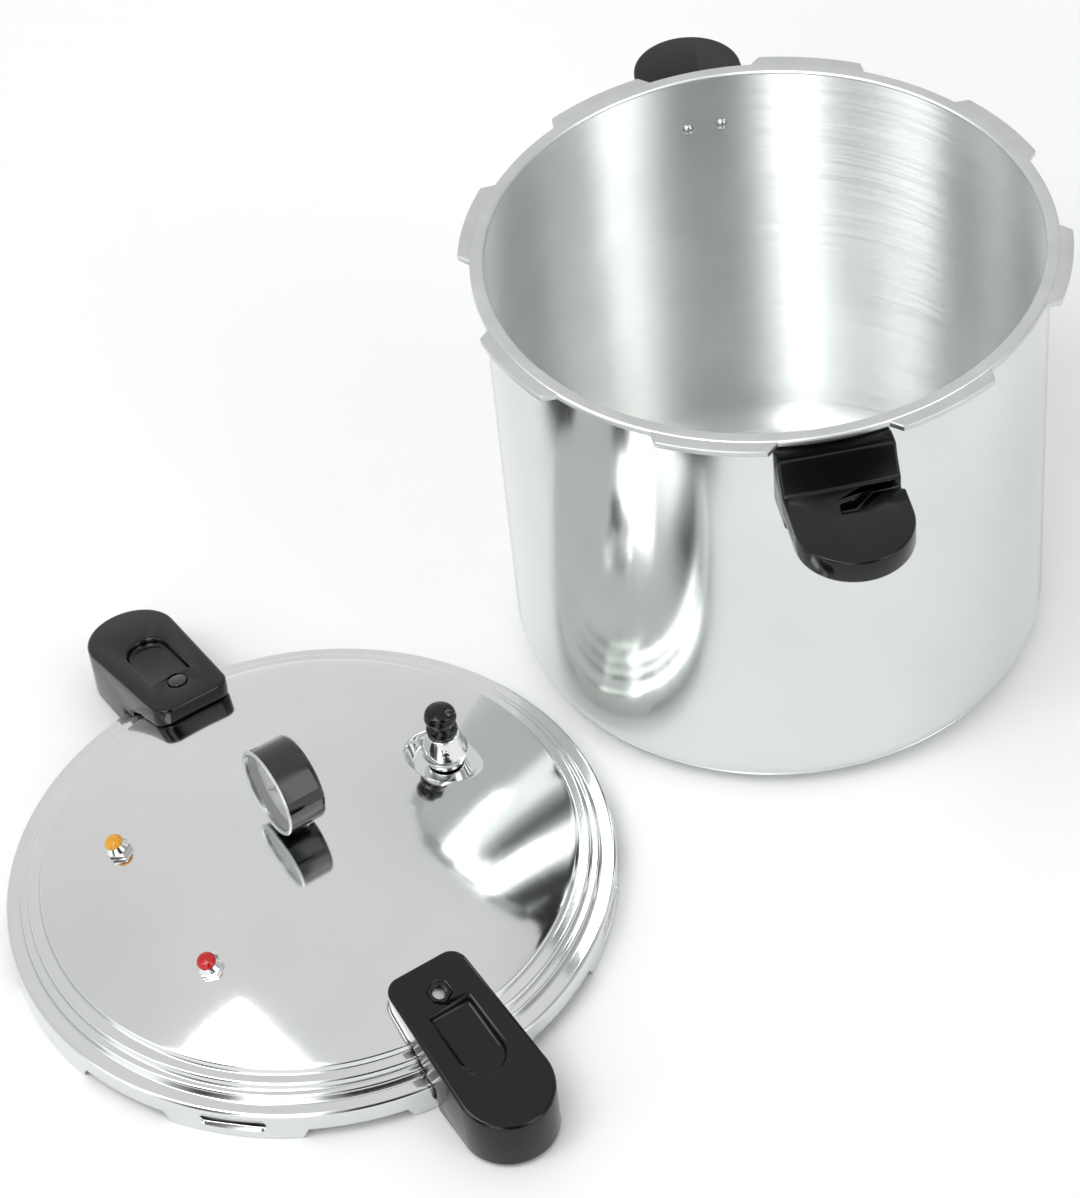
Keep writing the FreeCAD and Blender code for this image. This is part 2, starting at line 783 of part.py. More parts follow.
def make_lid_handle(side):
    label = f"lid_handle_{side}"
    half = "grip_width / 2"
    inner = "grip_inner_width / 2"
    bend = f"({HANDLE_END} - grip_width / 2)"
    seen_from_side = upright(label + "_block", [
        (GRIP_INNER, FLANGE_TOP),
        (GRIP_INNER, "grip_inner_top"),
        (HANDLE_END, "grip_outer_top"),
        (HANDLE_END, "grip_foot"),
        (f"{SKIRT_OUT} + bridge_gap", "grip_foot"),
        (f"{SKIRT_OUT} + bridge_gap", FLANGE_TOP),
    ], "grip_width")
    seen_from_above = plate(label + "_plan", [
        (f"{GRIP_INNER} + grip_corner", f"-{inner}", "grip_corner"),
        (bend, f"-{half}"),
        (HANDLE_END, "0", half),
        (bend, half, half),
        (f"{GRIP_INNER} + grip_corner", inner),
        (GRIP_INNER, f"{inner} - grip_corner", "grip_corner"),
        (GRIP_INNER, f"grip_corner - {inner}"),
    ], "0", "grip_inner_top")
    blank = common(label + "_blank", seen_from_side, seen_from_above)

    wide = "recess_width / 2"
    recess = plate(label + "_recess", [
        ("0", f"-{wide}"),
        (f"recess_length - {wide}", f"-{wide}"),
        ("recess_length", "0", wide),
        (f"recess_length - {wide}", wide, wide),
        ("0", wide),
    ], "-recess_depth", "2 * recess_depth")
    recess.Placement = on_grip(f"({DOME} + recess_start)")
    tools = [grip_envelope(label + "_under"), recess]
    for index, frame in enumerate(bolt_frames(0), 1):
        bore = cylinder(f"{label}_bore_{index}", "insert_radius", "bolt_length + lid_wall + running_gap")
        bore.Placement = frame.multiply(placed(up="-lid_wall"))
        tools.append(bore)
    if side == "front":
        bore = hexagon(label + "_lock_bore", "lock_bush_hexagon", "3 * lock_bush_length")
        bore.Placement = on_dome(LOCK, 0).multiply(placed(up="-lock_bush_length"))
        tools.append(bore)
        place = (CATCH, "0", "0")
        tools.append(cylinder(label + "_bush_bore", "catch_bush_radius", "catch_chamber_floor", place))
        tools.append(cylinder(label + "_chamber", "catch_chamber_radius", "catch_chamber_roof", place))
    else:
        bore = cylinder(label + "_plug_bore", "plug_radius", "2 * plug_depth")
        bore.Placement = plug_frame()
        tools.append(bore)
    part(cut(label, blank, *tools), LID.multiply(GRIP_FRAMES[side]))


def make_lid_fasteners():
    bolts = []
    inserts = []
    frames = bolt_frames(0) + bolt_frames(180)
    for index, frame in enumerate(frames, 1):
        bolt = turned(f"lid_bolt_{index}", [
            ("0", f"{UNDER} - screw_head_height"),
            ("1.8 * bolt_radius", UNDER, "2 * bolt_radius"),
            ("bolt_radius", UNDER),
            ("bolt_radius", "bolt_length"),
            ("0", "bolt_length"),
        ])
        insert = ring(f"lid_insert_{index}", "bolt_radius", "insert_radius",
                      "bolt_length - insert_length", "insert_length")
        bolt.Placement = LID.multiply(frame)
        insert.Placement = LID.multiply(frame)
        bolts.append(bolt)
        inserts.append(insert)
    part(group("lid_handle_bolts", bolts))
    part(group("lid_handle_inserts", inserts))


def make_gasket():
    outer = f"({STEP} - lid_wall / 1.5 - 2 * running_gap)"
    inner = f"({MOUTH} - gasket_inset)"
    top = "(gasket_foot + gasket_height)"
    part(turned("lid_gasket", [
        (inner, f"{top} - gasket_height / 3"),
        (f"{inner} + gasket_inset", "gasket_foot"),
        (outer, "gasket_foot"),
        (outer, top),
        (inner, top),
    ]), LID)


def make_lock_pin():
    """The pin that steam lifts to lock the lid, with its bush in the front handle."""
    frame = LID.multiply(on_dome(LOCK, 0))
    seal_top = "(-lid_wall - running_gap - lock_rise)"
    head_top = f"({seal_top} - seal_thickness)"
    part(turned("lock_pin", [
        ("0", f"{head_top} - lock_head_thickness"),
        ("lock_head_radius", f"{head_top} - lock_head_thickness"),
        ("lock_head_radius", head_top),
        ("lock_stem_radius", head_top),
        ("lock_stem_radius", "running_gap"),
        ("lock_cap_radius", "running_gap"),
        ("lock_cap_radius", "lock_bush_length - lock_rise - plug_proud"),
        ("0", "lock_bush_length - lock_rise"),
    ]), frame)
    part(ring("lock_pin_seal", "lock_stem_radius", "lock_head_radius", head_top, "seal_thickness"), frame)
    prism = hexagon("lock_bush_prism", "lock_bush_hexagon", "lock_bush_length")
    hole = cylinder("lock_bush_hole", "lock_bore_radius", "lock_bush_length")
    part(cut("lock_pin_bush", prism, hole), frame)


def make_catch_pin():
    """The sprung pin under the front handle that drops into the pot handle's groove."""
    frame = LID.multiply(placed(CATCH))
    top = "(catch_foot + catch_length)"
    part(turned("catch_pin", [
        ("0", "catch_foot"),
        ("catch_radius - 1", "catch_foot"),
        ("catch_radius", "catch_foot + 1"),
        ("catch_radius", f"{top} - catch_collar_thickness"),
        ("catch_collar_radius", f"{top} - catch_collar_thickness"),
        ("catch_collar_radius", top),
        ("0", top),
    ]), frame)
    part(ring("catch_bush", "catch_radius + running_gap", "catch_bush_radius", "grip_foot",
              "catch_chamber_floor - grip_foot"), frame)
    bend = "(catch_chamber_radius - 3 * catch_wire_radius)"
    part(coil("catch_spring", bend, "catch_wire_radius", top, "catch_chamber_roof", 7), frame)


def make_plug():
    plug = cylinder("handle_plug", "plug_radius", "plug_depth + plug_proud")
    part(plug, LID.multiply(GRIP_FRAMES["back"]).multiply(plug_frame()))


# ---------------------------------------------------------------- gauge
def make_gauge_stem():
    """The stem screws through the lid's middle and carries the gauge's socket."""
    frame = LID.multiply(placed(up=APEX))
    under_case = "(gauge_middle_rise - gauge_radius)"
    solid = turned("stem_turning", [
        ("0", "-4 * lid_wall"),
        ("stem_radius", "-4 * lid_wall"),
        ("stem_radius", "running_gap"),
        ("stem_neck_radius", f"{under_case} - running_gap"),
        ("stem_neck_radius", "stem_neck_top"),
        ("0", "stem_neck_top"),
    ])
    prism = hexagon("stem_flats", "stem_hexagon", f"{under_case} - running_gap")
    part(fuse("gauge_stem", solid, prism), frame)
    part(ring("gauge_seal", "stem_radius", "1.8 * stem_radius", SEAL_FOOT, "seal_thickness"), frame)
    nut("gauge_nut", "stem_nut_hexagon", "stem_radius", SEAL_FOOT, frame)


def make_gauge_case():
    case = turned("gauge_cup", [
        ("0", "0"),
        ("gauge_radius - gauge_wall", "0"),
        ("gauge_radius", "gauge_wall", "gauge_wall"),
        ("gauge_radius", "gauge_depth"),
        ("gauge_radius - gauge_wall", "gauge_depth"),
        ("gauge_radius - gauge_wall", "gauge_wall"),
        ("0", "gauge_wall"),
    ])
    hole = cylinder("gauge_cup_hole", "stem_neck_radius", "2 * gauge_radius", ("0", "0", "gauge_back"))
    hole.Placement.Rotation = ALONG_Y
    part(cut("gauge_case", case, hole), GAUGE)
    clear = "gauge_radius - gauge_wall"
    part(ring("gauge_bezel", "gauge_radius - bezel_width", "gauge_radius + bezel_lap",
              "gauge_depth", "bezel_thickness"), GAUGE)
    part(cylinder("gauge_window", clear, "window_thickness"),
         GAUGE.multiply(placed(up="gauge_depth - window_thickness")))
    part(ring("gauge_dial", "2 * spindle_radius", clear, "dial_level", "dial_thickness"), GAUGE)


def make_gauge_movement():
    """The bent tube, its socket, the frame plate, the geared sector and the needle's spindle."""
    tubes = []
    for label, sweep in (("bourdon_tube", "tube_sweep"), ("socket_bend", "360")):
        tube = doc.addObject("Part::Torus", label)
        tube.Label = label
        bind(tube, Radius1="tube_bend_radius", Radius2="tube_radius", Angle3=sweep)
        tubes.append(tube)
    tube, bend = tubes
    level = placed(up="tube_level")
    bend.Placement = level
    part(tube, GAUGE.multiply(level).multiply(turned_about((0, 0, 1), TUBE_START)))

    place = ("-socket_width / 2", "-socket_foot", "gauge_wall")
    size = ("socket_width", "socket_foot - socket_top", "frame_level - gauge_wall")
    neck_top = "stem_neck_top - gauge_middle_rise"
    neck = cylinder("socket_neck", "stem_neck_radius", "gauge_radius", ("0", neck_top, "gauge_back"))
    neck.Placement.Rotation = ALONG_Y
    part(cut("gauge_socket", block("socket_block", *size, place), neck, bend), GAUGE)

    pivot = "(pinion_radius + sector_radius + running_gap)"
    place = ("-socket_width / 2", "-socket_foot", "frame_level")
    bar = block("frame_bar", "socket_width", "socket_foot + socket_width / 2", "frame_thickness", place)
    place = ("0", f"-{pivot}", "frame_level")
    pin = cylinder("frame_pin", "spindle_radius", "frame_thickness + 2 * gear_thickness", place)
    spindle_hole = cylinder("frame_hole", "spindle_radius + running_gap", "gauge_depth")
    part(cut("gauge_frame", fuse("frame_solid", bar, pin), spindle_hole), GAUGE)

    fan = sector("(2 * spindle_radius)", "sector_radius", "0", "sector_sweep")
    teeth = plate("sector_fan", fan, "gear_level", "gear_thickness")
    hub = cylinder("sector_hub", "3 * spindle_radius", "gear_thickness", ("0", "0", "gear_level"))
    hole = cylinder("sector_hole", "spindle_radius + running_gap", "gauge_depth")
    place = placed("0", f"-{pivot}", turn=number("sector_zero_bearing"))
    part(cut("gauge_sector", fuse("sector_solid", teeth, hub), hole), GAUGE.multiply(place))

    part(turned("gauge_spindle", [
        ("0", "frame_level - 2"),
        ("spindle_radius", "frame_level - 2"),
        ("spindle_radius", "gear_level"),
        ("pinion_radius", "gear_level"),
        ("pinion_radius", "gear_level + gear_thickness"),
        ("spindle_radius", "gear_level + gear_thickness"),
        ("spindle_radius", "needle_level + 2 * needle_thickness"),
        ("0", "needle_level + 2 * needle_thickness"),
    ]), GAUGE)
    pointer = plate("needle_pointer", [
        ("-needle_tail", "-needle_width"),
        ("0", "-needle_width / 2"),
        ("needle_length", "0"),
        ("0", "needle_width / 2"),
        ("-needle_tail", "needle_width"),
    ], "needle_level", "needle_thickness")
    boss = cylinder("needle_boss", "needle_hub_radius", "needle_thickness", ("0", "0", "needle_level"))
    bore = cylinder("needle_bore", "spindle_radius", "gauge_depth")
    zero = placed(turn=number("needle_zero_bearing"))
    part(cut("gauge_needle", fuse("needle_solid", pointer, boss), bore), GAUGE.multiply(zero))


# ---------------------------------------------------------------- weight and relief valves
def make_weight():
    frame = LID.multiply(placed("0", "dish_distance", DISH_FLOOR))
    part(turned("vent_pipe", [
        ("vent_bore_radius", "-4 * lid_wall"),
        ("vent_radius", "-4 * lid_wall"),
        ("vent_radius", "vent_rise - vent_radius"),
        ("vent_radius / 2", "vent_rise"),
        ("vent_bore_radius", "vent_rise"),
    ]), frame)
    seal_foot = "(-lid_wall - seal_thickness)"
    part(ring("vent_seal", "vent_radius", "1.8 * vent_radius", seal_foot, "seal_thickness"), frame)
    nut("vent_nut", "vent_nut_hexagon", "vent_radius", seal_foot, frame)

    body = turned("weight_turning", [
        ("vent_radius + 1", "weight_foot"),
        ("weight_radius - 3", "weight_foot"),
        ("weight_radius", "weight_waist_height"),
        ("knob_radius - 0.6", "weight_height"),
        ("knob_stem_radius", "weight_height"),
        ("knob_stem_radius", "weight_height - knob_stem_length"),
        ("0", "weight_height - knob_stem_length"),
        ("0", "vent_rise + running_gap"),
        ("vent_radius / 2 + 1", "vent_rise + running_gap"),
        ("vent_radius + 1", "vent_rise - vent_radius + running_gap"),
    ])
    steam_hole = cylinder("steam_hole", "steam_hole_radius", "2 * weight_radius")
    towards = placed(up="steam_hole_height", turn=STEAM_HOLE_BEARING)
    steam_hole.Placement = towards.multiply(turned_about((0, 1, 0), 90))
    part(cut("weight_body", body, steam_hole), frame)
    part(turned("weight_knob", [
        ("0", "weight_height - knob_stem_length"),
        ("knob_stem_radius", "weight_height - knob_stem_length"),
        ("knob_stem_radius", "weight_height"),
        ("knob_radius - 1", "weight_height"),
        ("knob_radius - 0.4", "weight_height + 3"),
        ("knob_radius - 1", "weight_height + 6"),
        ("knob_radius - 3", "weight_height + 8"),
        ("knob_radius - 1", "weight_height + 9.5"),
        ("knob_radius", "weight_height + knob_height - knob_dome"),
        ("0", "weight_height + knob_height", "(knob_radius ^ 2 + knob_dome ^ 2) / (2 * knob_dome)"),
    ]), frame)


def make_relief_valve(colour, bearing):
    """A sprung plug in a hexagon housing, under a coloured cap."""
    frame = LID.multiply(on_dome("valve_distance", bearing))
    seat = "-valve_seat_depth"
    lip = "(valve_height - valve_lip)"
    clear = "running_gap"
    solid = turned(f"{colour}_turning", [
        ("valve_port_radius", "-valve_shank_length"),
        ("valve_shank_radius", "-valve_shank_length"),
        ("valve_shank_radius", "0"),
        ("valve_hexagon / 2", "0"),
        ("valve_hexagon / 2", "valve_hexagon_height"),
        ("valve_cap_radius - 0.6", "valve_height"),
        (f"valve_stem_radius + {clear}", "valve_height"),
        (f"valve_stem_radius + {clear}", lip),
        ("valve_bore_radius", lip),
        ("valve_bore_radius", seat),
        ("valve_port_radius", seat),
    ])
    prism = hexagon(f"{colour}_flats", "valve_hexagon", "valve_hexagon_height")
    core = cylinder(f"{colour}_core", "valve_hexagon / 2 - valve_lip", "valve_hexagon_height")
    part(fuse(f"{colour}_valve_housing", solid, cut(f"{colour}_collar", prism, core)), frame)

    cap = f"(valve_height + {clear})"
    plug_top = f"({seat} + {clear} + valve_plug_length)"
    crown = "(valve_cap_height - 1)"
    part(turned(f"{colour}_valve_cap", [
        ("0", f"{seat} + {clear}"),
        (f"valve_bore_radius - {clear}", f"{seat} + {clear}"),
        (f"valve_bore_radius - {clear}", plug_top),
        ("valve_stem_radius", plug_top),
        ("valve_stem_radius", cap),
        ("valve_cap_radius", cap),
        ("valve_cap_radius", f"{cap} + 1"),
        ("0", f"{cap} + valve_cap_height", f"(valve_cap_radius ^ 2 + {crown} ^ 2) / (2 * {crown})"),
    ]), frame)
    middle = "((valve_bore_radius + valve_stem_radius) / 2)"
    part(coil(f"{colour}_valve_spring", middle, "wire_radius", plug_top, lip, 4), frame)
    seal_radius = "1.6 * valve_shank_radius"
    part(ring(f"{colour}_valve_seal", "valve_shank_radius", seal_radius, SEAL_FOOT, "seal_thickness"), frame)
    nut(f"{colour}_valve_nut", "valve_nut_hexagon", "valve_shank_radius", SEAL_FOOT, frame)


# ---------------------------------------------------------------- all of it
make_pot()
make_pot_handle("pot_handle_front", FRONT)
make_pot_handle("pot_handle_back", BACK)
make_pot_fasteners()
make_lid_shell()
make_lid_handle("front")
make_lid_handle("back")
make_lid_fasteners()
make_gasket()
make_lock_pin()
make_catch_pin()
make_plug()
make_gauge_stem()
make_gauge_case()
make_gauge_movement()
make_weight()
for valve_colour, valve_bearing in VALVES.items():
    make_relief_valve(valve_colour, valve_bearing)

doc.recompute()
for thing in doc.Objects:
    if "Invalid" in thing.State or "Error" in thing.State:
        raise RuntimeError(f"{thing.Label} failed: {thing.State}")
for thing in PARTS:
    if thing.Shape.isNull() or not thing.Shape.isValid():
        raise RuntimeError(f"{thing.Label} has no valid shape")

os.makedirs("parts", exist_ok=True)
for thing in PARTS:
    thing.Shape.exportStep(f"parts/{thing.Label}.step")
print(len(PARTS), "parts written")
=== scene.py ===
import json
import math
import bmesh
import bpy
from mathutils import Matrix, Vector
from mathutils.geometry import delaunay_2d_cdt


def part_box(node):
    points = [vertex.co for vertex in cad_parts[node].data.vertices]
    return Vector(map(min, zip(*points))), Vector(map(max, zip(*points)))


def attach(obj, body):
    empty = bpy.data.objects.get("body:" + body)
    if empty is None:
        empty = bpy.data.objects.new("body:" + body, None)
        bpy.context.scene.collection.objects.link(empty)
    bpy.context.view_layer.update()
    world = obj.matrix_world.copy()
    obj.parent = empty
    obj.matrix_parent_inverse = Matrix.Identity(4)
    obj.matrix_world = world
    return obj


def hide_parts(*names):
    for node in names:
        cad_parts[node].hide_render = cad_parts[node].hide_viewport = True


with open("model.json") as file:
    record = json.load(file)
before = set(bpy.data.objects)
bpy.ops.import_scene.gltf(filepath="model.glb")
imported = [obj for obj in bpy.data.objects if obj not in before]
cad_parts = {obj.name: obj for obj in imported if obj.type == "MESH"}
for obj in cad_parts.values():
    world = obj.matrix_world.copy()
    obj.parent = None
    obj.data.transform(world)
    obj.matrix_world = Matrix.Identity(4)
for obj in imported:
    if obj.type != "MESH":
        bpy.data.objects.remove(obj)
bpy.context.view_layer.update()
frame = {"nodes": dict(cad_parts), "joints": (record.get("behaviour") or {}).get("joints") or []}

# Looks of an open pressure canner: a tall polished pot, and its domed lid lying beside it.
# Metres. The pot's axis is Z through the origin. The lid's own frame has its front handle on +X.

MM = 0.001
JOINTS = {joint["name"]: joint for joint in frame["joints"]}


# ---------------------------------------------------------------- sizes that follow the frame
POT_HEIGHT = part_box("pot_body")[1].z
LUG = 175 * MM
POT_RADIUS = 162.5 * MM
POT_WALL = 3 * MM
RIM = 168 * MM
RIM_DEPTH = 4.5 * MM
INSIDE = POT_RADIUS - POT_WALL
BASE = 4 * MM
BASE_CORNER = 22 * MM
LUG_SWEEP = math.radians(20.4)
LUG_SLANT = math.radians(2.4)
LUG_COUNT = 8
PITCH = 2 * math.pi / LUG_COUNT
SCREW_ACROSS = 10.5 * MM
SCREW_HEAD = 3.75 * MM

LID_WALL = 3 * MM
SKIRT_OUT = 178.5 * MM
SKIRT_IN = 175.5 * MM
STEP = SKIRT_OUT - 10 * MM
LEDGE = STEP - 5 * MM
DOME = LEDGE - 7.5 * MM
FLANGE_TOP = 20 * MM
STEP_TOP = FLANGE_TOP + 5 * MM
LEDGE_TOP = FLANGE_TOP + 9.5 * MM
DOME_FOOT = FLANGE_TOP + 13 * MM
APEX = DOME_FOOT + 33 * MM
BALL = (DOME**2 + (APEX - DOME_FOOT) ** 2) / (2 * (APEX - DOME_FOOT))
HOOK_FOOT = 7 * MM
TAB_HALF = math.radians(12.4)
TAB_SLANT = math.radians(1.2)
DISH = Vector((0, 97 * MM))
DISH_RADIUS = 22 * MM
DISH_FLOOR = FLANGE_TOP + 28.5 * MM
DISH_REACH = 28 * MM
SKIN_EDGE = DOME - 3 * MM
GASKET_INNER = 158.5 * MM
BOLT_ACROSS = 14 * MM
BOLT_REACH = 137 * MM
VALVE_REACH = 107 * MM

DIAL_START = 225
DIAL_SWEEP = 270
DIAL_TOP = 30
MARK_RING = 22 * MM
NUMBER_RING = 15.6 * MM
NUMBER_HEIGHT = 4.2 * MM

lock_axis = Vector(JOINTS["lock_pin_lift"]["axis"])
LID_TURN = math.atan2(lock_axis.y, lock_axis.x)
LID = Matrix.Translation(JOINTS["lid_turn"]["pos_m"]) @ Matrix.Rotation(LID_TURN, 4, "Z")
GAUGE_FACE = -Vector(JOINTS["needle_spin"]["axis"])


# ---------------------------------------------------------------- materials
def linear(code):
    """An sRGB hex value as a linear colour."""
    parts = [int(code[place:place + 2], 16) / 255 for place in (1, 3, 5)]
    return [part / 12.92 if part <= 0.04045 else ((part + 0.055) / 1.055) ** 2.4 for part in parts] + [1]


def node(tree, kind, inputs=None, **settings):
    """Adds a node with its settings, and its inputs as values or as sockets to link."""
    made = tree.nodes.new(kind)
    for name, value in settings.items():
        setattr(made, name, value)
    for name, value in (inputs or {}).items():
        if isinstance(value, bpy.types.NodeSocket):
            tree.links.new(value, made.inputs[name])
        else:
            made.inputs[name].default_value = value
    return made


def finish(name, dark, light, patch, gloss, grain, relief, stretch=(1, 1, 1), rings=False, **constants):
    """A material whose colour drifts between two tones over patches, with a grain in its gloss and relief.

    patch and grain are real sizes, relief is the grain's height, gloss the range of roughness.
    stretch makes the grain finer along an axis, and rings turns it into circles about Z."""
    material = bpy.data.materials.new(name)
    material.use_nodes = True
    tree = material.node_tree
    shader = tree.nodes["Principled BSDF"]
    for label, value in constants.items():
        shader.inputs[label.replace("_", " ")].default_value = value
    place = node(tree, "ShaderNodeTexCoord").outputs["Object"]
    along = node(tree, "ShaderNodeMapping", {"Vector": place, "Scale": stretch}).outputs["Vector"]
    if rings:
        flat = node(tree, "ShaderNodeVectorMath", {0: place, 1: (1, 1, 0)}, operation="MULTIPLY")
        reach = node(tree, "ShaderNodeVectorMath", {0: flat.outputs[0]}, operation="LENGTH")
        along = node(tree, "ShaderNodeCombineXYZ", {"X": reach.outputs["Value"]}).outputs["Vector"]
    drift = node(tree, "ShaderNodeTexNoise", {"Vector": place, "Scale": 1 / patch, "Detail": 3})
    fine = node(tree, "ShaderNodeTexNoise", {"Vector": along, "Scale": 1 / grain, "Detail": 3})
    mixed = node(
        tree, "ShaderNodeMix", {0: drift.outputs[0], 6: linear(dark), 7: linear(light)}, data_type="RGBA"
    )
    rough = node(
        tree, "ShaderNodeMapRange", {"Value": fine.outputs[0], "To Min": gloss[0], "To Max": gloss[1]}
    )
    bump = node(tree, "ShaderNodeBump", {"Height": fine.outputs[0], "Distance": relief})
    tree.links.new(mixed.outputs[2], shader.inputs["Base Color"])
    tree.links.new(rough.outputs[0], shader.inputs["Roughness"])
    tree.links.new(bump.outputs[0], shader.inputs["Normal"])
    return material


# Aluminium, drawn and buffed: a soft mirror with faint drifting haze.
POLISHED_POT = finish(
    "buffed_aluminium", "#D2D6D3", "#E4E7E5", 0.12, (0.10, 0.17), 0.004, 2e-6, (1, 1, 0.15), Metallic=1
)
# Aluminium, mirror polished: a clear mirror, its buffing marks only just seen.
POLISHED_LID = finish(
    "mirror_polished_aluminium", "#D4D7D5", "#E6E8E7", 0.09, (0.07, 0.12), 0.005, 1e-6, Metallic=1
)
# Aluminium, brushed round the inside with abrasive: fine level lines, and gloss that fans up and down.
BRUSHED_WALL = finish(
    "brushed_aluminium_wall", "#D9DDDA", "#F3F5F4", 0.05, (0.26, 0.54), 0.0016, 1.6e-5, (0.02, 0.02, 1),
    Metallic=1, Anisotropic=1.0, Anisotropic_Rotation=0.25,
)
# Aluminium, turned: fine rings about the axis.
TURNED_FLOOR = finish(
    "turned_aluminium_floor", "#C6CAC7", "#E2E5E3", 0.06, (0.25, 0.42), 0.0016, 10e-6, rings=True, Metallic=1
)
# Aluminium, machined then tumbled: a pale satin edge.
SATIN_EDGE = finish("satin_aluminium", "#C4C7C5", "#DADDDB", 0.02, (0.30, 0.44), 0.0008, 6e-6, Metallic=1)
# Phenolic, compression moulded: near black, glossy, with a slight ripple.
PHENOLIC = finish(
    "black_phenolic", "#060607", "#0E0E0F", 0.03, (0.10, 0.18), 0.0035, 9e-6, Specular_IOR_Level=0.36, IOR=1.5
)
# Brass under nickel and chrome: a clean bright mirror.
CHROME = finish("chrome_plate", "#DADADB", "#EFEFF0", 0.01, (0.03, 0.08), 0.0015, 1e-6, Metallic=1)
# Steel, rolled and zinc plated: bright, a little cloudy.
ZINC = finish("zinc_plated_steel", "#B9BBBA", "#D8D9D8", 0.003, (0.16, 0.30), 0.0006, 3e-6, Metallic=1)
# Steel, turned: fine tool rings.
STEEL = finish("turned_steel", "#A9AAA9", "#C9CAC9", 0.004, (0.20, 0.34), 0.0004, 3e-6, Metallic=1)
# Steel, blackened by oxide: dark and half glossy.
BLACKED = finish("blackened_steel", "#121213", "#222324", 0.004, (0.22, 0.34), 0.0006, 3e-6, Metallic=0.4)
# Brass, turned: warm yellow with tool marks.
BRASS = finish("turned_brass", "#B08D4A", "#CDAE6C", 0.004, (0.20, 0.34), 0.0005, 3e-6, Metallic=1)
# Silicone rubber, moulded: dark grey, matt, faintly mottled.
RUBBER = finish("moulded_rubber", "#1B1C1D", "#2A2B2C", 0.01, (0.55, 0.75), 0.0008, 15e-6, IOR=1.45)
# Steel cup, stove enamelled black: deep gloss over a faint orange peel.
ENAMEL = finish("black_enamel", "#08080A", "#101012", 0.02, (0.07, 0.13), 0.002, 4e-6, Coat_Weight=0.5)
# Printed card behind the window: white with a little tooth.
DIAL_CARD = finish("printed_dial", "#E4E6E8", "#F2F3F4", 0.006, (0.45, 0.6), 0.0004, 3e-6)
# Printing ink: flat black, slightly uneven; also the painted shade inside the weight's steam hole.
INK_AND_PAINTED_SHADE = finish("black_ink_and_painted_shade", "#111112", "#1E1E20", 0.002, (0.5, 0.65), 0.0003, 1e-6)
# Acetal caps, moulded and glossy: light goes a little way in.
AMBER = finish(
    "amber_acetal", "#C98A1B", "#E0A52E", 0.003, (0.10, 0.2), 0.001, 2e-6, Subsurface_Weight=0.3,
    Subsurface_Scale=0.002,
)
RED = finish(
    "red_acetal", "#A50E18", "#C81A24", 0.003, (0.10, 0.2), 0.001, 2e-6, Subsurface_Weight=0.3,
    Subsurface_Scale=0.002,
)
# Acrylic window, polished: clear, with a few faint smears.
WINDOW = finish(
    "clear_acrylic", "#F4F6F6", "#FFFFFF", 0.01, (0.01, 0.04), 0.003, 1e-7, Transmission_Weight=1.0, IOR=1.49
)
# Studio floor: matt white paper.
PAPER = finish("white_paper", "#F3F4F4", "#F7F8F8", 0.5, (0.75, 0.85), 0.002, 2e-6)


# ---------------------------------------------------------------- shapes
def rounded(corners):
    """The outline through (radius, height, fillet) corners, each rounded by its fillet."""
    outline = []
    last = len(corners) - 1
    for index, (across, up, fillet) in enumerate(corners):
        here = Vector((across, up))
        if not fillet or index in (0, last):
            outline.append(here)
            continue
        back = (Vector(corners[index - 1][:2]) - here).normalized()
        on = (Vector(corners[index + 1][:2]) - here).normalized()
        half = back.angle(on) / 2
        centre = here + (back + on).normalized() * fillet / math.sin(half)
        first = here + back * fillet / math.tan(half)
        sweep = (first - centre).angle_signed(here + on * fillet / math.tan(half) - centre)
        steps = max(3, round(abs(sweep) / math.radians(11)))
        for step in range(steps + 1):
            turn = Matrix.Rotation(-sweep * step / steps, 2)
            outline.append(centre + turn @ (first - centre))
    return outline


def spin_faces(bm, outline, angles, lift=None):
    """Turns an outline about Z at the given angles; lift moves a point by its angle."""
    rows = []
    for point in outline:
        if point.x < 1e-7:
            rows.append([bm.verts.new((0, 0, point.y))] * len(angles))
            continue
        rows.append([
            bm.verts.new((
                point.x * math.cos(angle),
                point.x * math.sin(angle),
                point.y + (lift(point, angle) if lift else 0),
            ))
            for angle in angles
        ])
    count = len(angles)
    for low, high in zip(rows, rows[1:]):
        for index in range(count):
            after = (index + 1) % count
            loop = [low[index], low[after], high[after], high[index]]
            corners = list(dict.fromkeys(loop))
            if len(corners) > 2:
                bm.faces.new(corners)


def even(count):
    return [2 * math.pi * index / count for index in range(count)]


def mesh_of(bm, name, sharp=35):
    """A finished mesh: merged, turned outwards, smooth except over sharp edges."""
    bmesh.ops.remove_doubles(bm, verts=bm.verts, dist=2e-6)
    bmesh.ops.recalc_face_normals(bm, faces=bm.faces)
    mesh = bpy.data.meshes.new(name)
    bm.to_mesh(mesh)
    bm.free()
    mesh.shade_smooth()
    mesh.set_sharp_from_angle(angle=math.radians(sharp))
    return mesh


def turned(name, corners, steps=96, closed=False):
    """A turned piece about Z from (radius, height, fillet) corners."""
    bm = bmesh.new()
    outline = rounded(corners)
    if closed:
        outline.append(outline[0])
    spin_faces(bm, outline, even(steps))
    return mesh_of(bm, name)


def slab(name, outline, bottom, height, edge, segments=3):
    """A flat slab of an outline in plan, with rounded edges."""
    bm = bmesh.new()
    face = bm.faces.new([bm.verts.new((point[0], point[1], bottom)) for point in outline])
    top = bmesh.ops.extrude_face_region(bm, geom=[face])["geom"]
    bmesh.ops.translate(bm, verts=[v for v in top if isinstance(v, bmesh.types.BMVert)], vec=(0, 0, height))
    edges = [e for e in bm.edges if e.is_manifold and e.calc_face_angle(0) > math.radians(30)]
    bmesh.ops.bevel(bm, geom=edges, offset=edge, segments=segments, affect="EDGES", profile=0.5)
    return mesh_of(bm, name)


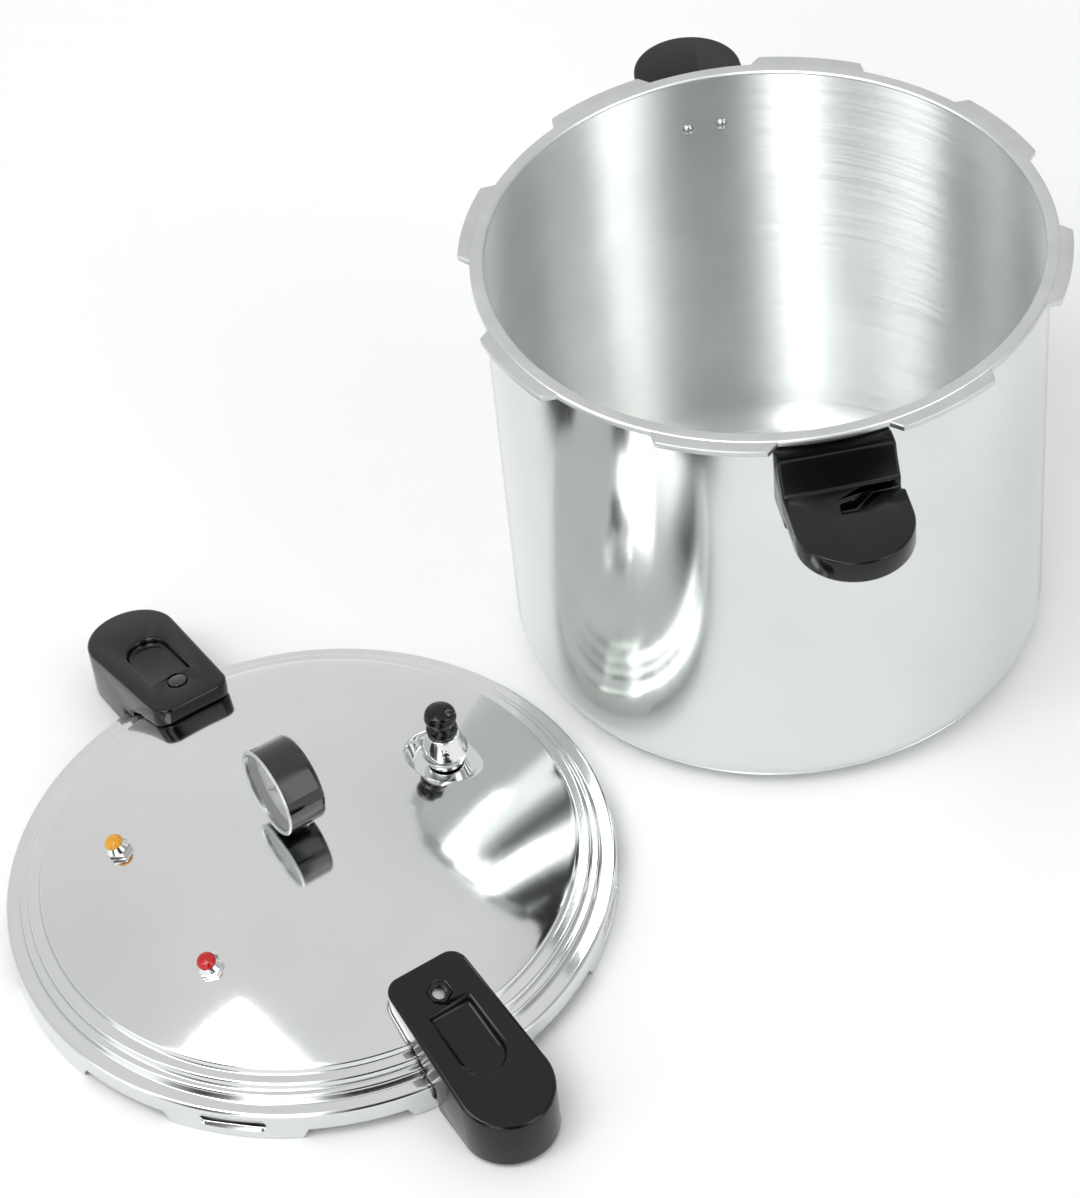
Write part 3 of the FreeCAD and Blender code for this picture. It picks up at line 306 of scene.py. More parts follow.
def cut_out(mesh, cutter):
    """The mesh with the cutter's volume taken away."""
    whole = bpy.data.objects.new("whole", mesh)
    tool = bpy.data.objects.new("tool", cutter)
    for thing in (whole, tool):
        bpy.context.scene.collection.objects.link(thing)
    modifier = whole.modifiers.new("cut", "BOOLEAN")
    modifier.object = tool
    modifier.solver = "EXACT"
    result = settled(whole)
    bpy.data.objects.remove(tool)
    return result


def settled(thing):
    """The mesh of an object with its modifiers applied; the object goes."""
    bpy.context.view_layer.update()
    shown = thing.evaluated_get(bpy.context.evaluated_depsgraph_get())
    mesh = bpy.data.meshes.new_from_object(shown)
    bpy.data.objects.remove(thing)
    return mesh


def cast(node_name, edge, segments=3, clamp=True):
    """A CAD node's own shape, merged and with its edges rounded; clamp keeps small shapes from tearing."""
    bm = bmesh.new()
    bm.from_mesh(frame["nodes"][node_name].data)
    bmesh.ops.remove_doubles(bm, verts=bm.verts, dist=5e-6)
    bmesh.ops.dissolve_limit(bm, angle_limit=math.radians(0.6), verts=bm.verts, edges=bm.edges)
    mesh = bpy.data.meshes.new(node_name + "_cast")
    bm.to_mesh(mesh)
    bm.free()
    thing = bpy.data.objects.new("cast", mesh)
    bpy.context.scene.collection.objects.link(thing)
    bevel = thing.modifiers.new("edges", "BEVEL")
    bevel.width = edge
    bevel.segments = segments
    bevel.limit_method = "ANGLE"
    bevel.angle_limit = math.radians(32)
    bevel.use_clamp_overlap = clamp
    result = settled(thing)
    result.shade_smooth()
    result.set_sharp_from_angle(angle=math.radians(38))
    return result


def spread(name, unit, frames, material):
    """Geometry Nodes: one unit set down at each frame."""
    points = bpy.data.meshes.new(name + "_points")
    points.from_pydata([place.translation for place in frames], [], [])
    turns = points.attributes.new("turn", "FLOAT_VECTOR", "POINT")
    for index, place in enumerate(frames):
        turns.data[index].vector = place.to_euler()
    holder = bpy.data.objects.new(name + "_holder", points)
    pattern = bpy.data.objects.new(name + "_unit", unit)
    for thing in (holder, pattern):
        bpy.context.scene.collection.objects.link(thing)
    tree = bpy.data.node_groups.new(name + "_nodes", "GeometryNodeTree")
    tree.interface.new_socket("Geometry", in_out="INPUT", socket_type="NodeSocketGeometry")
    chosen = tree.interface.new_socket("Unit", in_out="INPUT", socket_type="NodeSocketObject")
    size = tree.interface.new_socket("Size", in_out="INPUT", socket_type="NodeSocketFloat")
    tree.interface.new_socket("Geometry", in_out="OUTPUT", socket_type="NodeSocketGeometry")
    given = node(tree, "NodeGroupInput")
    shape = node(tree, "GeometryNodeObjectInfo", {"Object": given.outputs["Unit"]})
    turn = node(tree, "GeometryNodeInputNamedAttribute", {"Name": "turn"}, data_type="FLOAT_VECTOR")
    euler = node(tree, "FunctionNodeEulerToRotation", {0: turn.outputs[0]})
    placed = node(tree, "GeometryNodeInstanceOnPoints", {
        "Points": given.outputs["Geometry"],
        "Instance": shape.outputs["Geometry"],
        "Rotation": euler.outputs[0],
        "Scale": given.outputs["Size"],
    })
    real = node(tree, "GeometryNodeRealizeInstances", {0: placed.outputs[0]})
    painted = node(tree, "GeometryNodeSetMaterial", {"Geometry": real.outputs[0], "Material": material})
    node(tree, "NodeGroupOutput", {0: painted.outputs[0]})
    modifier = holder.modifiers.new("spread", "NODES")
    modifier.node_group = tree
    modifier[chosen.identifier] = pattern
    modifier[size.identifier] = 1.0
    mesh = settled(holder)
    bpy.data.objects.remove(pattern)
    return mesh


def piece(name, mesh, material, body, nodes=(), place=None):
    """Puts a finished mesh in the scene on its body, in the stead of its CAD nodes."""
    if place:
        mesh.transform(place)
    if material and not mesh.materials:
        mesh.materials.append(material)
    thing = bpy.data.objects.new(name, mesh)
    bpy.context.scene.collection.objects.link(thing)
    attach(thing, body)
    if nodes:
        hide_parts(*nodes)
    return thing


def turn_about(axis, degrees):
    return Matrix.Rotation(math.radians(degrees), 4, axis)


def ring_sector(inner, outer, middle, half, slant=0.0, steps=12):
    """The plan of a piece of a ring, wider by slant at its inner corners."""
    points = []
    for step in range(steps + 1):
        angle = middle - half + 2 * half * step / steps
        points.append((outer * math.cos(angle), outer * math.sin(angle)))
    for step in range(steps + 1):
        angle = middle + half + slant - 2 * (half + slant) * step / steps
        points.append((inner * math.cos(angle), inner * math.sin(angle)))
    return points


def round_rim():
    """The turns about Z that set a lug or a hook down at each of its places."""
    return [turn_about("Z", 360 / LUG_COUNT * (index + 0.5)) for index in range(LUG_COUNT)]


# ---------------------------------------------------------------- pot
def pot_shell():
    """Pot: its outside polished, its wall and floor brushed inside, its lip satin."""
    corners = [
        (0, 0, 0),
        (POT_RADIUS, 0, BASE_CORNER),
        (POT_RADIUS, POT_HEIGHT - RIM_DEPTH, 0.6 * MM),
        (RIM, POT_HEIGHT - RIM_DEPTH, 1.2 * MM),
        (RIM, POT_HEIGHT, 1.8 * MM),
        (INSIDE, POT_HEIGHT, 2.0 * MM),
        (INSIDE, BASE, BASE_CORNER - POT_WALL),
        (0, BASE, 0),
    ]
    mesh = turned("pot_shell", corners, 256)
    for material in (POLISHED_POT, BRUSHED_WALL, TURNED_FLOOR, SATIN_EDGE):
        mesh.materials.append(material)
    wall, floor, lip = 1, 2, 3
    for face in mesh.polygons:
        reach = face.center.xy.length
        if face.center.z > POT_HEIGHT - RIM_DEPTH - 0.2 * MM:
            face.material_index = lip
        elif reach < INSIDE + 0.5 * MM and face.center.z > BASE + 1.2 * MM:
            face.material_index = wall
        elif reach < INSIDE and face.center.z > BASE / 2:
            face.material_index = floor
    piece("pot_shell", mesh, None, "pot", ["pot_body"])


def pot_lugs():
    """The lugs round the pot's lip, wider at their roots."""
    lug = slab(
        "lug", ring_sector(RIM - 2.75 * MM, LUG, 0, LUG_SWEEP / 2, LUG_SLANT),
        POT_HEIGHT - RIM_DEPTH, 4 * MM, 0.7 * MM,
    )
    piece("pot_lugs", spread("pot_lugs", lug, round_rim(), SATIN_EDGE), None, "pot")


def screw_head(name, radius, height, cross):
    """A low domed head with a cross recess, its seat at the origin and its dome towards +Z."""
    head = turned(name, [
        (0, height, 0),
        (radius * 0.55, height * 0.86, 0),
        (radius * 0.86, height * 0.5, 0),
        (radius, 0.1 * MM, 0),
        (radius, -0.2 * MM, 0),
        (0, -0.2 * MM, 0),
    ], 32)
    arm = slab("arm", [
        (-cross / 2, -cross / 8), (cross / 2, -cross / 8), (cross / 2, cross / 8), (-cross / 2, cross / 8),
    ], height * 0.35, height, 0.05 * MM, 1)
    other = arm.copy()
    other.transform(turn_about("Z", 90))
    return cut_out(cut_out(head, arm), other)


def pot_screws():
    """The heads, inside the pot, of the screws that hold its handles."""
    head = screw_head("pot_screw", SCREW_HEAD, 2.4 * MM, 4 * MM)
    low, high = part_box("pot_handle_screws")
    level = (low.z + high.z) / 2
    seat = math.sqrt(INSIDE**2 - (SCREW_ACROSS + SCREW_HEAD) ** 2)
    frames = []
    for facing in (-90, 90):
        for across in (-SCREW_ACROSS, SCREW_ACROSS):
            frames.append(
                turn_about("Z", facing)
                @ Matrix.Translation((seat, across, level))
                @ turn_about("Y", -90)
                @ turn_about("Z", 20)
            )
    heads = spread("pot_screw_heads", head, frames, ZINC)
    piece("pot_screw_heads", heads, None, "pot", ["pot_handle_screws"])


def handles():
    """The moulded handles: their CAD shapes, with moulded edges."""
    for side in ("front", "back"):
        label = f"pot_handle_{side}"
        piece(label + "_moulding", cast(label, 1.6 * MM, 4, clamp=False), PHENOLIC, "pot", [label])
        label = f"lid_handle_{side}"
        piece(label + "_moulding", cast(label, 2.2 * MM, 4, clamp=False), PHENOLIC, "lid", [label])


# ---------------------------------------------------------------- lid
def dome_height(across, along):
    """Height of the lid's top skin, with its pressed dish."""
    ball = APEX - BALL + math.sqrt(BALL**2 - across**2 - along**2)
    away = (Vector((across, along)) - DISH).length
    share = min(max((away - DISH_RADIUS + 3.2 * MM) / (5.4 * MM), 0), 1)
    share = share * share * (3 - 2 * share)
    return ball * share + min(ball, DISH_FLOOR) * (1 - share)


def lid_angles():
    """Angles round the lid, closer at the tabs' ends."""
    angles = []
    for tab in range(LUG_COUNT):
        middle = tab * PITCH
        stretches = (
            (-PITCH / 2, -TAB_HALF - TAB_SLANT, 6),
            (-TAB_HALF, TAB_HALF, 18),
            (TAB_HALF + TAB_SLANT, PITCH / 2, 6),
        )
        for start, stop, steps in stretches:
            angles.extend(middle + start + (stop - start) * step / steps for step in range(steps))
            if stop != PITCH / 2:
                angles.append(middle + stop)
    return angles


def dome_skin(bm, angles, drop):
    """The dome's top skin, or its underside a wall lower, open at its edge."""
    points = []
    for ring in range(1, 25):
        reach = SKIN_EDGE * ring / 24
        for angle in angles:
            point = Vector((reach * math.cos(angle), reach * math.sin(angle)))
            if (point - DISH).length > DISH_REACH + 1 * MM:
                points.append(point)
    coarse = (5, 10, 15, 17)
    close = [18 + step / 2 for step in range(14)]
    for reach in (*coarse, *close, 26, 28):
        for angle in even(120):
            points.append(DISH + Vector((math.cos(angle), math.sin(angle))) * reach * MM)
    points.extend((Vector((0, 0)), DISH))
    flat, _, faces, *_ = delaunay_2d_cdt(points, [], [], 0, 1e-7)
    verts = [bm.verts.new((p.x, p.y, dome_height(p.x, p.y) - drop)) for p in flat]
    for face in faces:
        bm.faces.new([verts[index] for index in face])


def true_dome(mesh):
    """Gives the dome's skin the exact normals of its curve, so that it mirrors cleanly."""
    step = 0.05 * MM
    normals = []
    for vertex in mesh.vertices:
        x, y, z = vertex.co
        if math.hypot(x, y) > SKIN_EDGE - 2 * step:
            normals.append((0, 0, 0))
            continue
        slope_x = (dome_height(x + step, y) - dome_height(x - step, y)) / (2 * step)
        slope_y = (dome_height(x, y + step) - dome_height(x, y - step)) / (2 * step)
        side = 1 if z > dome_height(x, y) - LID_WALL / 2 else -1
        normals.append(Vector((-slope_x, -slope_y, 1)).normalized() * side)
    mesh.normals_split_custom_set_from_vertices(normals)


def lid_outline():
    """The lid's outline, from the dome's edge down its rings and skirt and back underneath."""
    edge_height = dome_height(-SKIN_EDGE, 0)
    return rounded([
        (SKIN_EDGE, edge_height, 0),
        (DOME, DOME_FOOT, 1.4 * MM),
        (DOME + 1.2 * MM, LEDGE_TOP, 1.2 * MM),
        (LEDGE, LEDGE_TOP, 1.8 * MM),
        (LEDGE + 1.0 * MM, STEP_TOP, 1.2 * MM),
        (STEP, STEP_TOP, 1.8 * MM),
        (STEP + 1.0 * MM, FLANGE_TOP, 1.2 * MM),
        (SKIRT_OUT, FLANGE_TOP, 2.6 * MM),
        (SKIRT_OUT, HOOK_FOOT + 3 * MM, 0),
        (SKIRT_OUT, HOOK_FOOT, 0.8 * MM),
        (SKIRT_IN, HOOK_FOOT, 0.8 * MM),
        (SKIRT_IN, HOOK_FOOT + 3 * MM, 0),
        (SKIRT_IN, FLANGE_TOP - LID_WALL, 0.8 * MM),
        (STEP - 1 * MM, FLANGE_TOP - LID_WALL, 0.8 * MM),
        (STEP - 2 * MM, STEP_TOP - LID_WALL, 0.8 * MM),
        (LEDGE, STEP_TOP - LID_WALL, 0.8 * MM),
        (LEDGE - 1.5 * MM, LEDGE_TOP - LID_WALL, 0.8 * MM),
        (DOME - 1 * MM, LEDGE_TOP - LID_WALL, 0),
        (SKIN_EDGE, edge_height - LID_WALL, 0),
    ])


def tab_drop(point, angle):
    """Lowers the skirt's foot where a tab is."""
    off = abs((angle + PITCH / 2) % PITCH - PITCH / 2)
    if point.y > HOOK_FOOT + 1.5 * MM or off > TAB_HALF + 1e-4:
        return 0
    return -HOOK_FOOT


def slot_outline():
    """A long slot in plan, with round ends."""
    half = 16.5 * MM
    radius = 2.5 * MM
    corner = [(half + radius * math.cos(a), radius * math.sin(a)) for a in even(32)[:9]]
    back = corner[::-1]
    return (
        corner
        + [(-x, y) for x, y in back]
        + [(-x, -y) for x, y in corner[1:]]
        + [(x, -y) for x, y in back[:-1]]
    )


def lid_shell():
    """Lid: dome, rolled rings, flange and a skirt that ends in tabs, with two slots through it."""
    angles = lid_angles()
    bm = bmesh.new()
    spin_faces(bm, lid_outline(), angles, tab_drop)
    dome_skin(bm, angles, 0)
    dome_skin(bm, angles, LID_WALL)
    mesh = mesh_of(bm, "lid_shell", 40)
    for bearing in (-45, 45):
        window = slab("window", slot_outline(), -12 * MM, 24 * MM, 0.01 * MM, 1)
        place = Matrix.Translation((0, 0, 11.5 * MM)) @ turn_about("Z", bearing + 90)
        window.transform(place @ Matrix.Translation((0, -SKIRT_OUT, 0)) @ turn_about("X", 90))
        mesh = cut_out(mesh, window)
    mesh.set_sharp_from_angle(angle=math.radians(40))
    true_dome(mesh)
    mesh.materials.append(POLISHED_LID)
    mesh.materials.append(SATIN_EDGE)
    for face in mesh.polygons:
        skirt = face.center.z < FLANGE_TOP - 2.6 * MM and face.center.xy.length > SKIRT_OUT - 1 * MM
        face.material_index = 1 if face.normal.z < -0.5 and not skirt else 0
    piece("lid_dome", mesh, None, "lid", ["lid_shell"], LID)


def lid_hooks():
    """The hooks turned in from the tabs' feet."""
    hook = slab(
        "hook", ring_sector(RIM + 2.2 * MM, SKIRT_OUT - 1.5 * MM, 0, math.radians(9.5)), HOOK_FOOT,
        3 * MM, 0.5 * MM,
    )
    piece("lid_hooks", spread("lid_hooks", hook, round_rim(), SATIN_EDGE), None, "lid", place=LID)


def gasket():
    """The rubber ring that seals the lid on the pot."""
    low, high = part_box("lid_gasket")
    outer = (high.x - low.x) / 2
    mesh = turned("gasket", [
        (GASKET_INNER, high.z, 0),
        (GASKET_INNER, high.z - 1.8 * MM, 0),
        (GASKET_INNER + 3 * MM, low.z, 0),
        (outer, low.z, 0),
        (outer, high.z, 0),
    ], 192, closed=True)
    piece("gasket_ring", mesh, RUBBER, "seal", ["lid_gasket"], Matrix.Translation(LID.translation))


def lid_bolts():
    """The heads, under the lid, of the bolts that hold its handles."""
    head = screw_head("lid_bolt", 4.5 * MM, 2.4 * MM, 4.5 * MM)
    off_axis = math.degrees(math.atan2(BOLT_ACROSS, BOLT_REACH))
    reach = math.hypot(BOLT_ACROSS, BOLT_REACH)
    tilt = math.degrees(math.asin(reach / BALL))
    under = LID_WALL + 0.15 * MM
    frames = []
    for bearing in (0, 180):
        for side in (-off_axis, off_axis):
            skin = Vector((reach, 0, dome_height(-reach, 0)))
            frames.append(
                LID @ turn_about("Z", bearing + side) @ Matrix.Translation(skin) @ turn_about("Y", tilt)
                @ Matrix.Translation((0, 0, -under)) @ turn_about("X", 180)
            )
    heads = spread("lid_bolt_heads", head, frames, ZINC)
    piece("lid_bolt_heads", heads, None, "lid", ["lid_handle_bolts"])


def small_fittings():
    """Lock bush, handle plug, gauge stem and two nuts: their CAD shapes, with broken edges."""
    for label, edge, material in (
        ("lock_pin_bush", 0.5 * MM, BLACKED),
        ("handle_plug", 0.4 * MM, ENAMEL),
        ("gauge_stem", 0.5 * MM, CHROME),
        ("vent_nut", 0.5 * MM, BRASS),
        ("gauge_nut", 0.5 * MM, BRASS),
    ):
        piece(label + "_finished", cast(label, edge, 2), material, "lid", [label])


# ---------------------------------------------------------------- gauge
def gauge_frame():
    """The gauge's own frame: Z out of its face, Y up."""
    up = Vector((0, 0, 1))
    side = up.cross(GAUGE_FACE)
    turn = Matrix((side, up, GAUGE_FACE)).transposed().to_4x4()
    return Matrix.Translation(JOINTS["needle_spin"]["pos_m"]) @ turn


def dial_marks(material):
    """Geometry Nodes: short marks round the dial, longer at each fifth."""
    meshes = []
    for count, length, width in ((31, 1.6 * MM, 0.3 * MM), (7, 2.8 * MM, 0.5 * MM)):
        bm = bmesh.new()
        bmesh.ops.create_cube(bm, size=1)
        bmesh.ops.scale(bm, vec=(length, width, 0.05 * MM), verts=bm.verts)
        bmesh.ops.translate(bm, vec=(MARK_RING - length / 2, 0, 0), verts=bm.verts)
        unit = mesh_of(bm, "mark")
        frames = [turn_about("Z", DIAL_START - DIAL_SWEEP * index / (count - 1)) for index in range(count)]
        meshes.append(spread(f"marks_{count}", unit, frames, material))
    return meshes


def number_mesh(text, size):
    """A number as a flat mesh, centred on the origin."""
    curve = bpy.data.curves.new("number", "FONT")
    curve.body = text
    curve.size = size
    curve.align_x = "CENTER"
    curve.align_y = "CENTER"
    curve.extrude = 0.02 * MM
    holder = bpy.data.objects.new("number", curve)
    bpy.context.scene.collection.objects.link(holder)
    return settled(holder)


def joined(meshes, name):
    """Several meshes as one."""
    bm = bmesh.new()
    for mesh in meshes:
        bm.from_mesh(mesh)
    result = bpy.data.meshes.new(name)
    bm.to_mesh(result)
    bm.free()
    return result


def gauge_case(place):
    """The gauge's black cup and thin bright bezel."""
    case = turned("case", [
        (0, 0, 0),
        (26 * MM, 0, 3.5 * MM),
        (26 * MM, 24 * MM, 0.3 * MM),
        (25 * MM, 24 * MM, 0.3 * MM),
        (25 * MM, 1 * MM, 2.5 * MM),
        (0, 1 * MM, 0),
    ], 128)
    piece("gauge_cup", case, ENAMEL, "lid", ["gauge_case"], place)
    bezel = turned("bezel", [
        (24.3 * MM, 24 * MM, 0),
        (26.6 * MM, 24 * MM, 0),
        (26.6 * MM, 24.9 * MM, 0),
        (26.2 * MM, 25.4 * MM, 0),
        (25.2 * MM, 25.5 * MM, 0),
        (24.3 * MM, 24.9 * MM, 0),
    ], 128, closed=True)
    piece("gauge_bezel_ring", bezel, SATIN_EDGE, "lid", ["gauge_bezel"], place)


def dial_print(place):
    """The marks and numbers printed on the dial, just above its face."""
    dial = frame["nodes"]["gauge_dial"]
    flat = place.inverted() @ dial.matrix_world
    dial_face = max((flat @ vertex.co).z for vertex in dial.data.vertices)
    marks = dial_marks(INK_AND_PAINTED_SHADE)
    for value in range(0, DIAL_TOP + 1, 5):
        angle = math.radians(DIAL_START - DIAL_SWEEP * value / DIAL_TOP)
        text = number_mesh(str(value), NUMBER_HEIGHT)
        across = NUMBER_RING * math.cos(angle)
        along = NUMBER_RING * math.sin(angle)
        text.transform(Matrix.Translation((across, along, 0)))
        marks.append(text)
    printed = joined(marks, "dial_print")
    piece("dial_print", printed, INK_AND_PAINTED_SHADE, "lid", place=place @ Matrix.Translation((0, 0, dial_face + 0.05 * MM)))


# ---------------------------------------------------------------- weight and valves
def weight_body(place):
    """The rocker weight's chromed body, hollow at its foot where it sits on the vent."""
    body = turned("body", [
        (6 * MM, 1.5 * MM, 0),
        (11 * MM, 1.5 * MM, 0.8 * MM),
        (13.8 * MM, 9.5 * MM, 1.2 * MM),
        (13.8 * MM, 11.5 * MM, 1.2 * MM),
        (12.0 * MM, 17 * MM, 6 * MM),
        (9.4 * MM, 24 * MM, 0.8 * MM),
        (0, 24 * MM, 0),
        (0, 12.3 * MM, 0),
        (3 * MM, 12.3 * MM, 0),
        (6 * MM, 8 * MM, 0),
    ], 96, closed=True)
    piece("weight_turning", body, CHROME, "weight", ["weight_body"], place)


def steam_hole(place):
    """The steam hole in the weight's side: a bright chrome ring, and inside it a flat black disc that paints
    the shade within the hole.
    """
    ring = [Vector((2.1 * MM + 0.6 * MM * math.cos(a), 0.5 * MM * math.sin(a))) for a in even(13)]
    ring.append(Vector((2.7 * MM, 0)))
    bm = bmesh.new()
    spin_faces(bm, ring, even(40))
    side = LID_TURN + math.radians(-25)
    out = Vector((math.cos(side), math.sin(side), 0))
    face = place @ Matrix.Translation((0, 0, 17 * MM)) @ Matrix.Translation(out * 12.1 * MM)
    turn = out.to_track_quat("Z", "Y").to_matrix().to_4x4()
    piece("steam_hole_rim", mesh_of(bm, "steam_hole_rim"), CHROME, "weight", place=face @ turn)
    # A flat black disc just inside the ring: painted shade where the hole's dark inside would be.
    painted_shade_disc = turned("plug", [
        (0, -0.5 * MM, 0),
        (1.7 * MM, -0.5 * MM, 0),
        (1.7 * MM, 0.1 * MM, 0),
        (0, 0.1 * MM, 0),
    ], 32)
    piece("steam_hole_dark", painted_shade_disc, INK_AND_PAINTED_SHADE, "weight", place=face @ turn)


def weight_knob(place):
    """The weight's black knob, waisted below its crown."""
    knob = turned("knob", [
        (0, 24 * MM, 0),
        (8.6 * MM, 24 * MM, 0.8 * MM),
        (9.4 * MM, 27 * MM, 2 * MM),
        (8.8 * MM, 30 * MM, 1.5 * MM),
        (6.6 * MM, 32 * MM, 1.2 * MM),
        (8.6 * MM, 33.5 * MM, 1 * MM),
        (9.7 * MM, 37 * MM, 3 * MM),
        (8.6 * MM, 41.6 * MM, 3 * MM),
        (4 * MM, 43.6 * MM, 8 * MM),
        (0, 44 * MM, 0),
    ], 96)
    piece("weight_knob_moulding", knob, PHENOLIC, "weight", ["weight_knob"], place)


def weight():
    """The rocker weight, in a frame whose origin is just under its foot."""
    low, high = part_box("weight_body")
    middle = (low + high) / 2
    place = Matrix.Translation((middle.x, middle.y, low.z - 1.5 * MM))
    weight_body(place)
    steam_hole(place)
    weight_knob(place)


def relief_valves():
    """Two sprung valves: chromed hexagon housings under coloured domes."""
    for colour, material in (("amber", AMBER), ("red", RED)):
        label = f"{colour}_valve_housing"
        piece(f"{colour}_housing", cast(label, 0.45 * MM, 2), CHROME, "lid", [label])
        axis = Vector(JOINTS[f"{colour}_cap_lift"]["axis"])
        side = math.atan2(axis.y, axis.x)
        centre = LID.translation + Vector((VALVE_REACH * math.cos(side), VALVE_REACH * math.sin(side), 0))
        centre.z = APEX - BALL + math.sqrt(BALL**2 - VALVE_REACH**2)
        place = Matrix.Translation(centre) @ axis.to_track_quat("Z", "Y").to_matrix().to_4x4()
        cap = turned("cap", [
            (0, -3.7 * MM, 0),
            (2.9 * MM, -3.7 * MM, 0.3 * MM),
            (2.9 * MM, -1.2 * MM, 0.3 * MM),
            (1.8 * MM, -1.2 * MM, 0),
            (1.8 * MM, 6.8 * MM, 0),
            (5.5 * MM, 6.8 * MM, 0.4 * MM),
            (5.5 * MM, 8.4 * MM, 1.2 * MM),
            (3.9 * MM, 10.4 * MM, 2.5 * MM),
            (0, 10.9 * MM, 0),
        ], 64)
        piece(f"{colour}_dome", cap, material, f"{colour}_cap", [f"{colour}_valve_cap"], place)


# ---------------------------------------------------------------- CAD nodes that keep their shape
KEPT = {
    "pot_handle_inserts": BRASS, "lid_handle_inserts": BRASS, "lock_pin": STEEL, "lock_pin_seal": RUBBER,
    "catch_pin": STEEL, "catch_bush": BRASS, "catch_spring": STEEL, "gauge_seal": RUBBER,
    "gauge_window": WINDOW, "gauge_dial": DIAL_CARD, "bourdon_tube": BRASS, "gauge_socket": BRASS,
    "gauge_frame": BRASS, "gauge_sector": BRASS, "gauge_spindle": BRASS, "gauge_needle": INK_AND_PAINTED_SHADE,
    "vent_pipe": CHROME, "vent_seal": RUBBER,
    "amber_valve_spring": STEEL, "amber_valve_seal": RUBBER, "amber_valve_nut": BRASS,
    "red_valve_spring": STEEL, "red_valve_seal": RUBBER, "red_valve_nut": BRASS,
}


def kept_nodes():
    """Gives the CAD nodes that keep their shape their materials."""
    for label, material in KEPT.items():
        for slot in frame["nodes"][label].material_slots:
            slot.material = material


# ---------------------------------------------------------------- studio
def softbox(name, aim, bearing, elevation, distance, width, height, power, only=None):
    """A soft area light that looks at a point from a bearing and an elevation.

    only is the collection that it lights, where it lights less than everything."""
    lamp = bpy.data.lights.new(name, "AREA")
    lamp.shape = "RECTANGLE"
    lamp.size = width
    lamp.size_y = height
    lamp.energy = power
    holder = bpy.data.objects.new(name, lamp)
    bpy.context.scene.collection.objects.link(holder)
    flat = math.radians(bearing)
    rise = math.radians(elevation)
    away = Vector((math.cos(flat) * math.cos(rise), math.sin(flat) * math.cos(rise), math.sin(rise)))
    holder.location = aim + away * distance
    holder.rotation_euler = away.to_track_quat("Z", "Y").to_euler()
    if only:
        holder.light_linking.receiver_collection = only


# The light tent: how bright its cloth is at each bearing, with the gaps between its panels.
TENT = (
    (-172, 1.7), (-158, 1.7), (-148, 0.5), (-140, 0.1), (-132, 0.3), (-122, 2.3), (-106, 2.3),
    (-97, 0.5), (-90, 0.05), (-72, 0.05), (-62, 0.6), (-54, 2.2), (-38, 2.2), (-26, 0.5),
    (0, 0.6), (40, 0.75), (90, 0.85), (140, 0.8), (165, 0.8),
)


def paper_floor():
    """A wide sheet of white paper, just under the pot and the lid."""
    bm = bmesh.new()
    bmesh.ops.create_grid(bm, x_segments=1, y_segments=1, size=6)
    floor = bpy.data.objects.new("floor", mesh_of(bm, "floor"))
    floor.data.materials.append(PAPER)
    floor.data.transform(Matrix.Translation((0, 0, -0.2 * MM)))
    bpy.context.scene.collection.objects.link(floor)


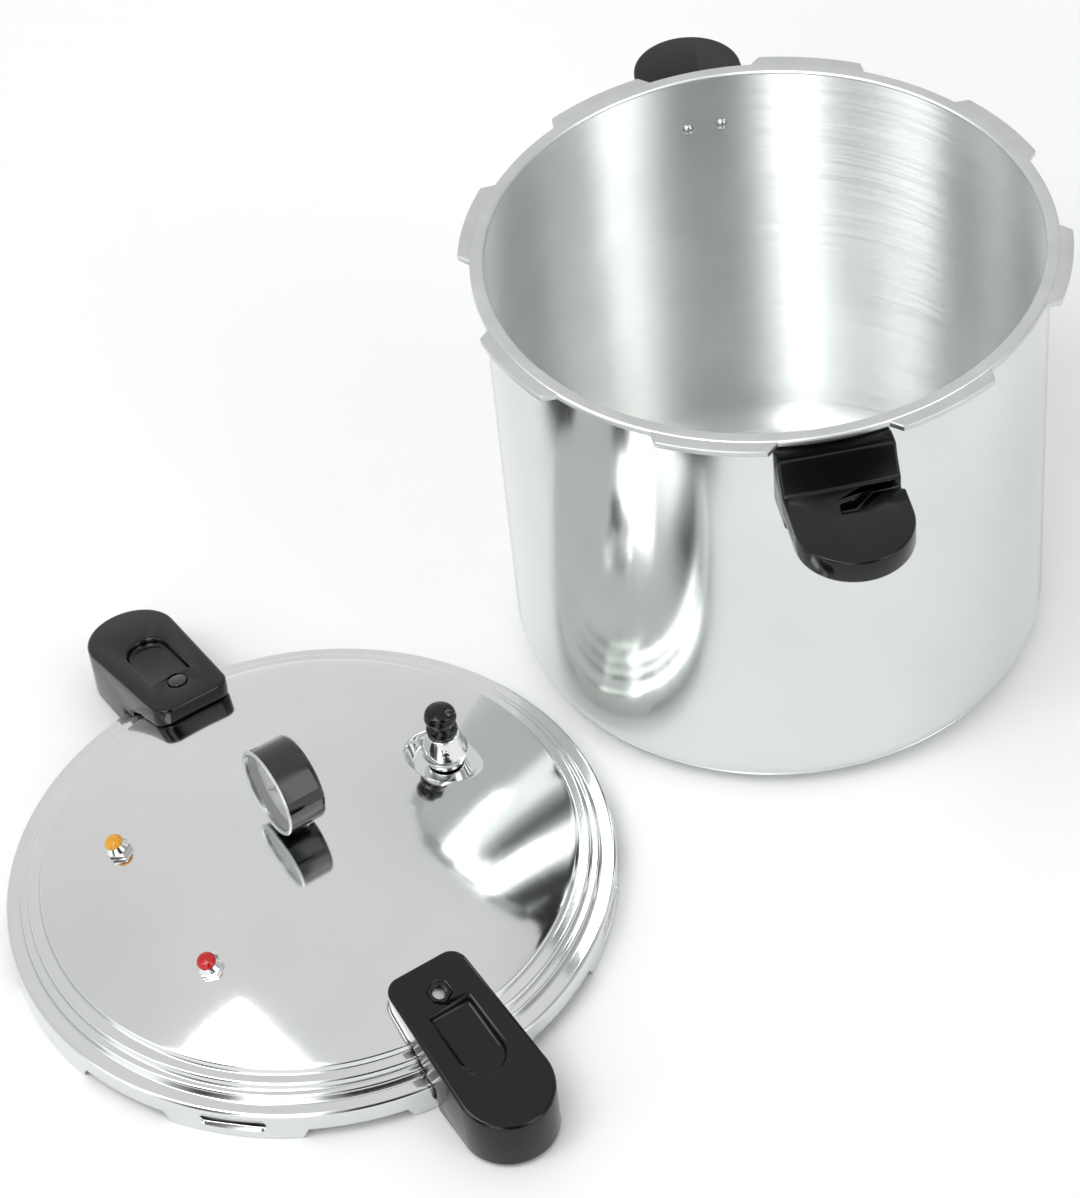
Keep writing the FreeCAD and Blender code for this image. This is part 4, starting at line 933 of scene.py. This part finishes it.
def light_tent():
    """The world: a tent as bright as TENT says at each bearing, and an even white overhead."""
    world = bpy.data.worlds.new("studio")
    bpy.context.scene.world = world
    world.use_nodes = True
    tree = world.node_tree
    way = node(tree, "ShaderNodeSeparateXYZ", {0: node(tree, "ShaderNodeTexCoord").outputs["Generated"]})
    bearing = node(
        tree, "ShaderNodeMath", {0: way.outputs["Y"], 1: way.outputs["X"]}, operation="ARCTAN2"
    )
    around = node(
        tree, "ShaderNodeMapRange", {"Value": bearing.outputs[0], "From Min": -math.pi, "From Max": math.pi}
    )
    tent = node(tree, "ShaderNodeValToRGB", {"Fac": around.outputs[0]})
    ramp = tent.color_ramp
    ramp.interpolation = "EASE"
    ramp.elements.remove(ramp.elements[0])
    ramp.elements[0].position = 0
    for turn, grey in TENT:
        stop = ramp.elements.new((turn + 180) / 360)
        stop.color = (grey, grey, grey, 1)
    ramp.elements[0].color = (TENT[-1][1],) * 3 + (1,)
    high = node(
        tree, "ShaderNodeMapRange", {"Value": way.outputs["Z"], "From Min": 0.72, "From Max": 0.95},
        interpolation_type="SMOOTHSTEP",
    )
    overhead = (0.85, 0.85, 0.85, 1)
    sky = node(
        tree, "ShaderNodeMix", {0: high.outputs[0], 6: tent.outputs["Color"], 7: overhead}, data_type="RGBA"
    )
    tree.links.new(sky.outputs[2], tree.nodes["Background"].inputs["Color"])
    tree.nodes["Background"].inputs["Strength"].default_value = 1.0


def lamps():
    """One soft key light, and three strips that light only the pot's shell, for the bands inside it."""
    softbox("key", Vector((-0.1, -0.05, 0.1)), -150, 60, 3.0, 1.4, 1.4, 26)
    inside = bpy.data.collections.new("pot_only")
    inside.objects.link(bpy.data.objects["pot_shell"])
    pot = Vector((0, 0.1, 0.2))
    softbox("middle_strip", pot, -117, 48, 2.4, 0.40, 1.6, 24, inside)
    softbox("left_strip", pot, -38, 45, 2.4, 0.24, 1.3, 12, inside)
    softbox("right_strip", pot, -172, 42, 2.4, 0.30, 1.3, 13, inside)


def plain_tones():
    """Shows the light as it is, without a film's curve."""
    bpy.context.scene.view_settings.view_transform = "Standard"


def camera():
    """The three-quarter view from above the pot's front handle."""
    stand = Vector((-0.3196, -1.5475, 1.5918))
    bearing = math.radians(-96.28)
    elevation = math.radians(44.97)
    roll = math.radians(-6.31)
    away = Vector((
        math.cos(bearing) * math.cos(elevation), math.sin(bearing) * math.cos(elevation), math.sin(elevation),
    ))
    level = Vector((-math.sin(bearing), math.cos(bearing), 0))
    upright = away.cross(level)
    right = level * math.cos(roll) + upright * math.sin(roll)
    up = upright * math.cos(roll) - level * math.sin(roll)
    lens = bpy.data.cameras.new("camera")
    lens.sensor_fit = "VERTICAL"
    lens.sensor_height = 36
    lens.lens = 107.6
    holder = bpy.data.objects.new("camera", lens)
    turn = Matrix((right, up, away)).transposed().to_4x4()
    holder.matrix_world = Matrix.Translation(stand) @ turn
    bpy.context.scene.collection.objects.link(holder)
    bpy.context.scene.camera = holder


pot_shell()
pot_lugs()
pot_screws()
handles()
lid_shell()
lid_hooks()
gasket()
lid_bolts()
small_fittings()
gauge_case(gauge_frame())
dial_print(gauge_frame())
weight()
relief_valves()
kept_nodes()
paper_floor()
light_tent()
lamps()
plain_tones()
camera()
